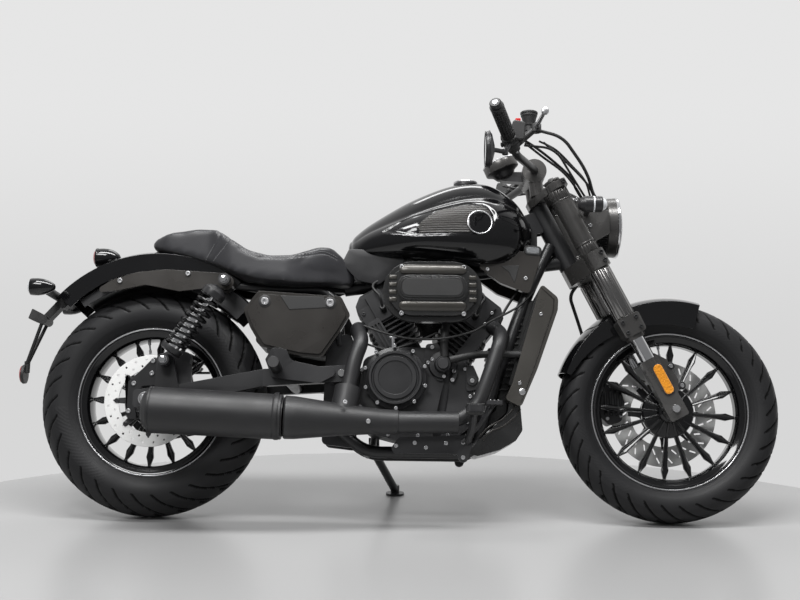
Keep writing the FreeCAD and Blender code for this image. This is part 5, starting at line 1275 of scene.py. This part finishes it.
def build_liner():
    """Inner mudguard between the rear tyre and the fender, and the gusset plates of the neck."""
    liner = Shape("fender_liner", "satin_black", angle=30)
    outer = [(322, 74), (345, 74), (350, 62), (351, 0), (350, -62), (345, -74), (322, -74)]
    inner = [(322, -71), (342, -71), (347, -60), (348, 0), (347, 60), (342, 71), (322, 71)]
    rows = []
    for k in range(45):
        deg = 45 + 82 * k / 44
        out = spoke(radians(deg))[0]
        grow = 30 * smooth(72, 52, deg)
        rows.append([REAR + out * (r + grow if r > 330 else r) + Y * y for r, y in outer + inner])
    liner.grid(rows, loop=True, cap=True)
    gusset = Shape("neck_gussets", "satin_black")
    for side in (-1, 1):
        gusset.side([(284, 860, 3), (300, 849, 3), (345, 866, 3), (374, 806, 6), (304, 796, 6), (284, 822, 6)],
                side * 16, side * 22, 1.2)


def build_feet():
    rubber = Shape("peg_ribs", "soft_rubber")
    silver = Shape("foot_bolts", "alloy")
    for side in (-1, 1):
        for k in range(7):
            y = side * (258 + k * 11)
            for z in (288, 268):
                rubber.side(rect(141, z, 187, z + 4, 1), y, y + side * 5, 0.8)
        silver.bolts(side * 150, ((-37, 194), (12, 202), (42, 190), (95, 202), (140, 205), (140, 165)), 5.5, 4)
    for k in range(3):
        for j in range(3):
            silver.rod(V3(206 + 10 * k, -255 + 12 * j, 306), V3(206 + 10 * k, -255 + 12 * j, 308.5), 2.4, 10, 0.5)


def build_calipers():
    """Ribs, bolts and pad pins on the two calipers."""
    dark = Shape("caliper_ribs", "gloss_black", "steering", slot="satin_black")
    silver = Shape("caliper_bolts", "alloy", "steering")
    for y, side in ((34, -1), (98, 1)):
        for k in range(4):
            x = 543 + 14 * k
            dark.side([(x, 295, 3), (x + 8, 295, 3), (x + 6, 365, 3), (x - 2, 365, 3)], y, y + side * 5, 1.2)
        for p in ((551, y, 287), (589, y, 295), (561, y, 379), (579, y, 381)):
            silver.bolt(Vector(p), Y * side, 5, 4)


def build_belt():
    teeth = Shape("pulley_teeth", "satin_black", "rear_wheel")
    centre = REAR + Y * 91
    for k in range(60):
        out, across = spoke(2 * pi * k / 60)
        teeth.grid([[centre + out * r + across * a * w + Y * b for a, b in ((-1, -8), (1, -8), (1, 8), (-1, 8))]
                for r, w in ((84, 3.6), (91.6, 2.6))], loop=True, cap=True)


make_camera()
make_materials()
make_room()
dress_cad()
tyre("front_tyre_tread", FRONT, "front_wheel", "front_tyre", radius=303.0, width=120.0, rim_r=217.0, bead_half=38.0,
        pitches=34, lean=1.5, reach=8)
tyre("rear_tyre_tread", REAR, "rear_wheel", "rear_tyre", radius=312.0, width=150.0, rim_r=205.0, bead_half=52.0,
        pitches=30, lean=1.2, reach=14)
wheel("front_wheel_cast", FRONT, "front_wheel", rim_r=217.0, opening_r=187.0, lip=38.0, hub_r=70.0, hub_half=56.0,
        first_deg=86.0)
wheel("rear_wheel_cast", REAR, "rear_wheel", rim_r=205.0, opening_r=175.0, lip=52.0, hub_r=66.0, hub_half=70.0,
        first_deg=87.0)
disc("front_disc_ring", FRONT, "front_wheel", "front_disc", y0=56.0, side=1, outer=148.0, inner=92.0,
        carrier_r=66.0, slotted=True)
disc("rear_disc_ring", REAR, "rear_wheel", "rear_disc", y0=-70.0, side=-1, outer=125.0, inner=86.0, carrier_r=58.0)
build_fork()
build_headlamp()
build_signals()
build_bars()
build_gauge()
build_tank()
build_seat()
build_engine()
build_air_cleaner()
build_covers()
build_exhaust()
build_shocks()
build_tail()
build_liner()
build_feet()
build_calipers()
build_belt()
while Shape.waiting:
    Shape.waiting[0].make()
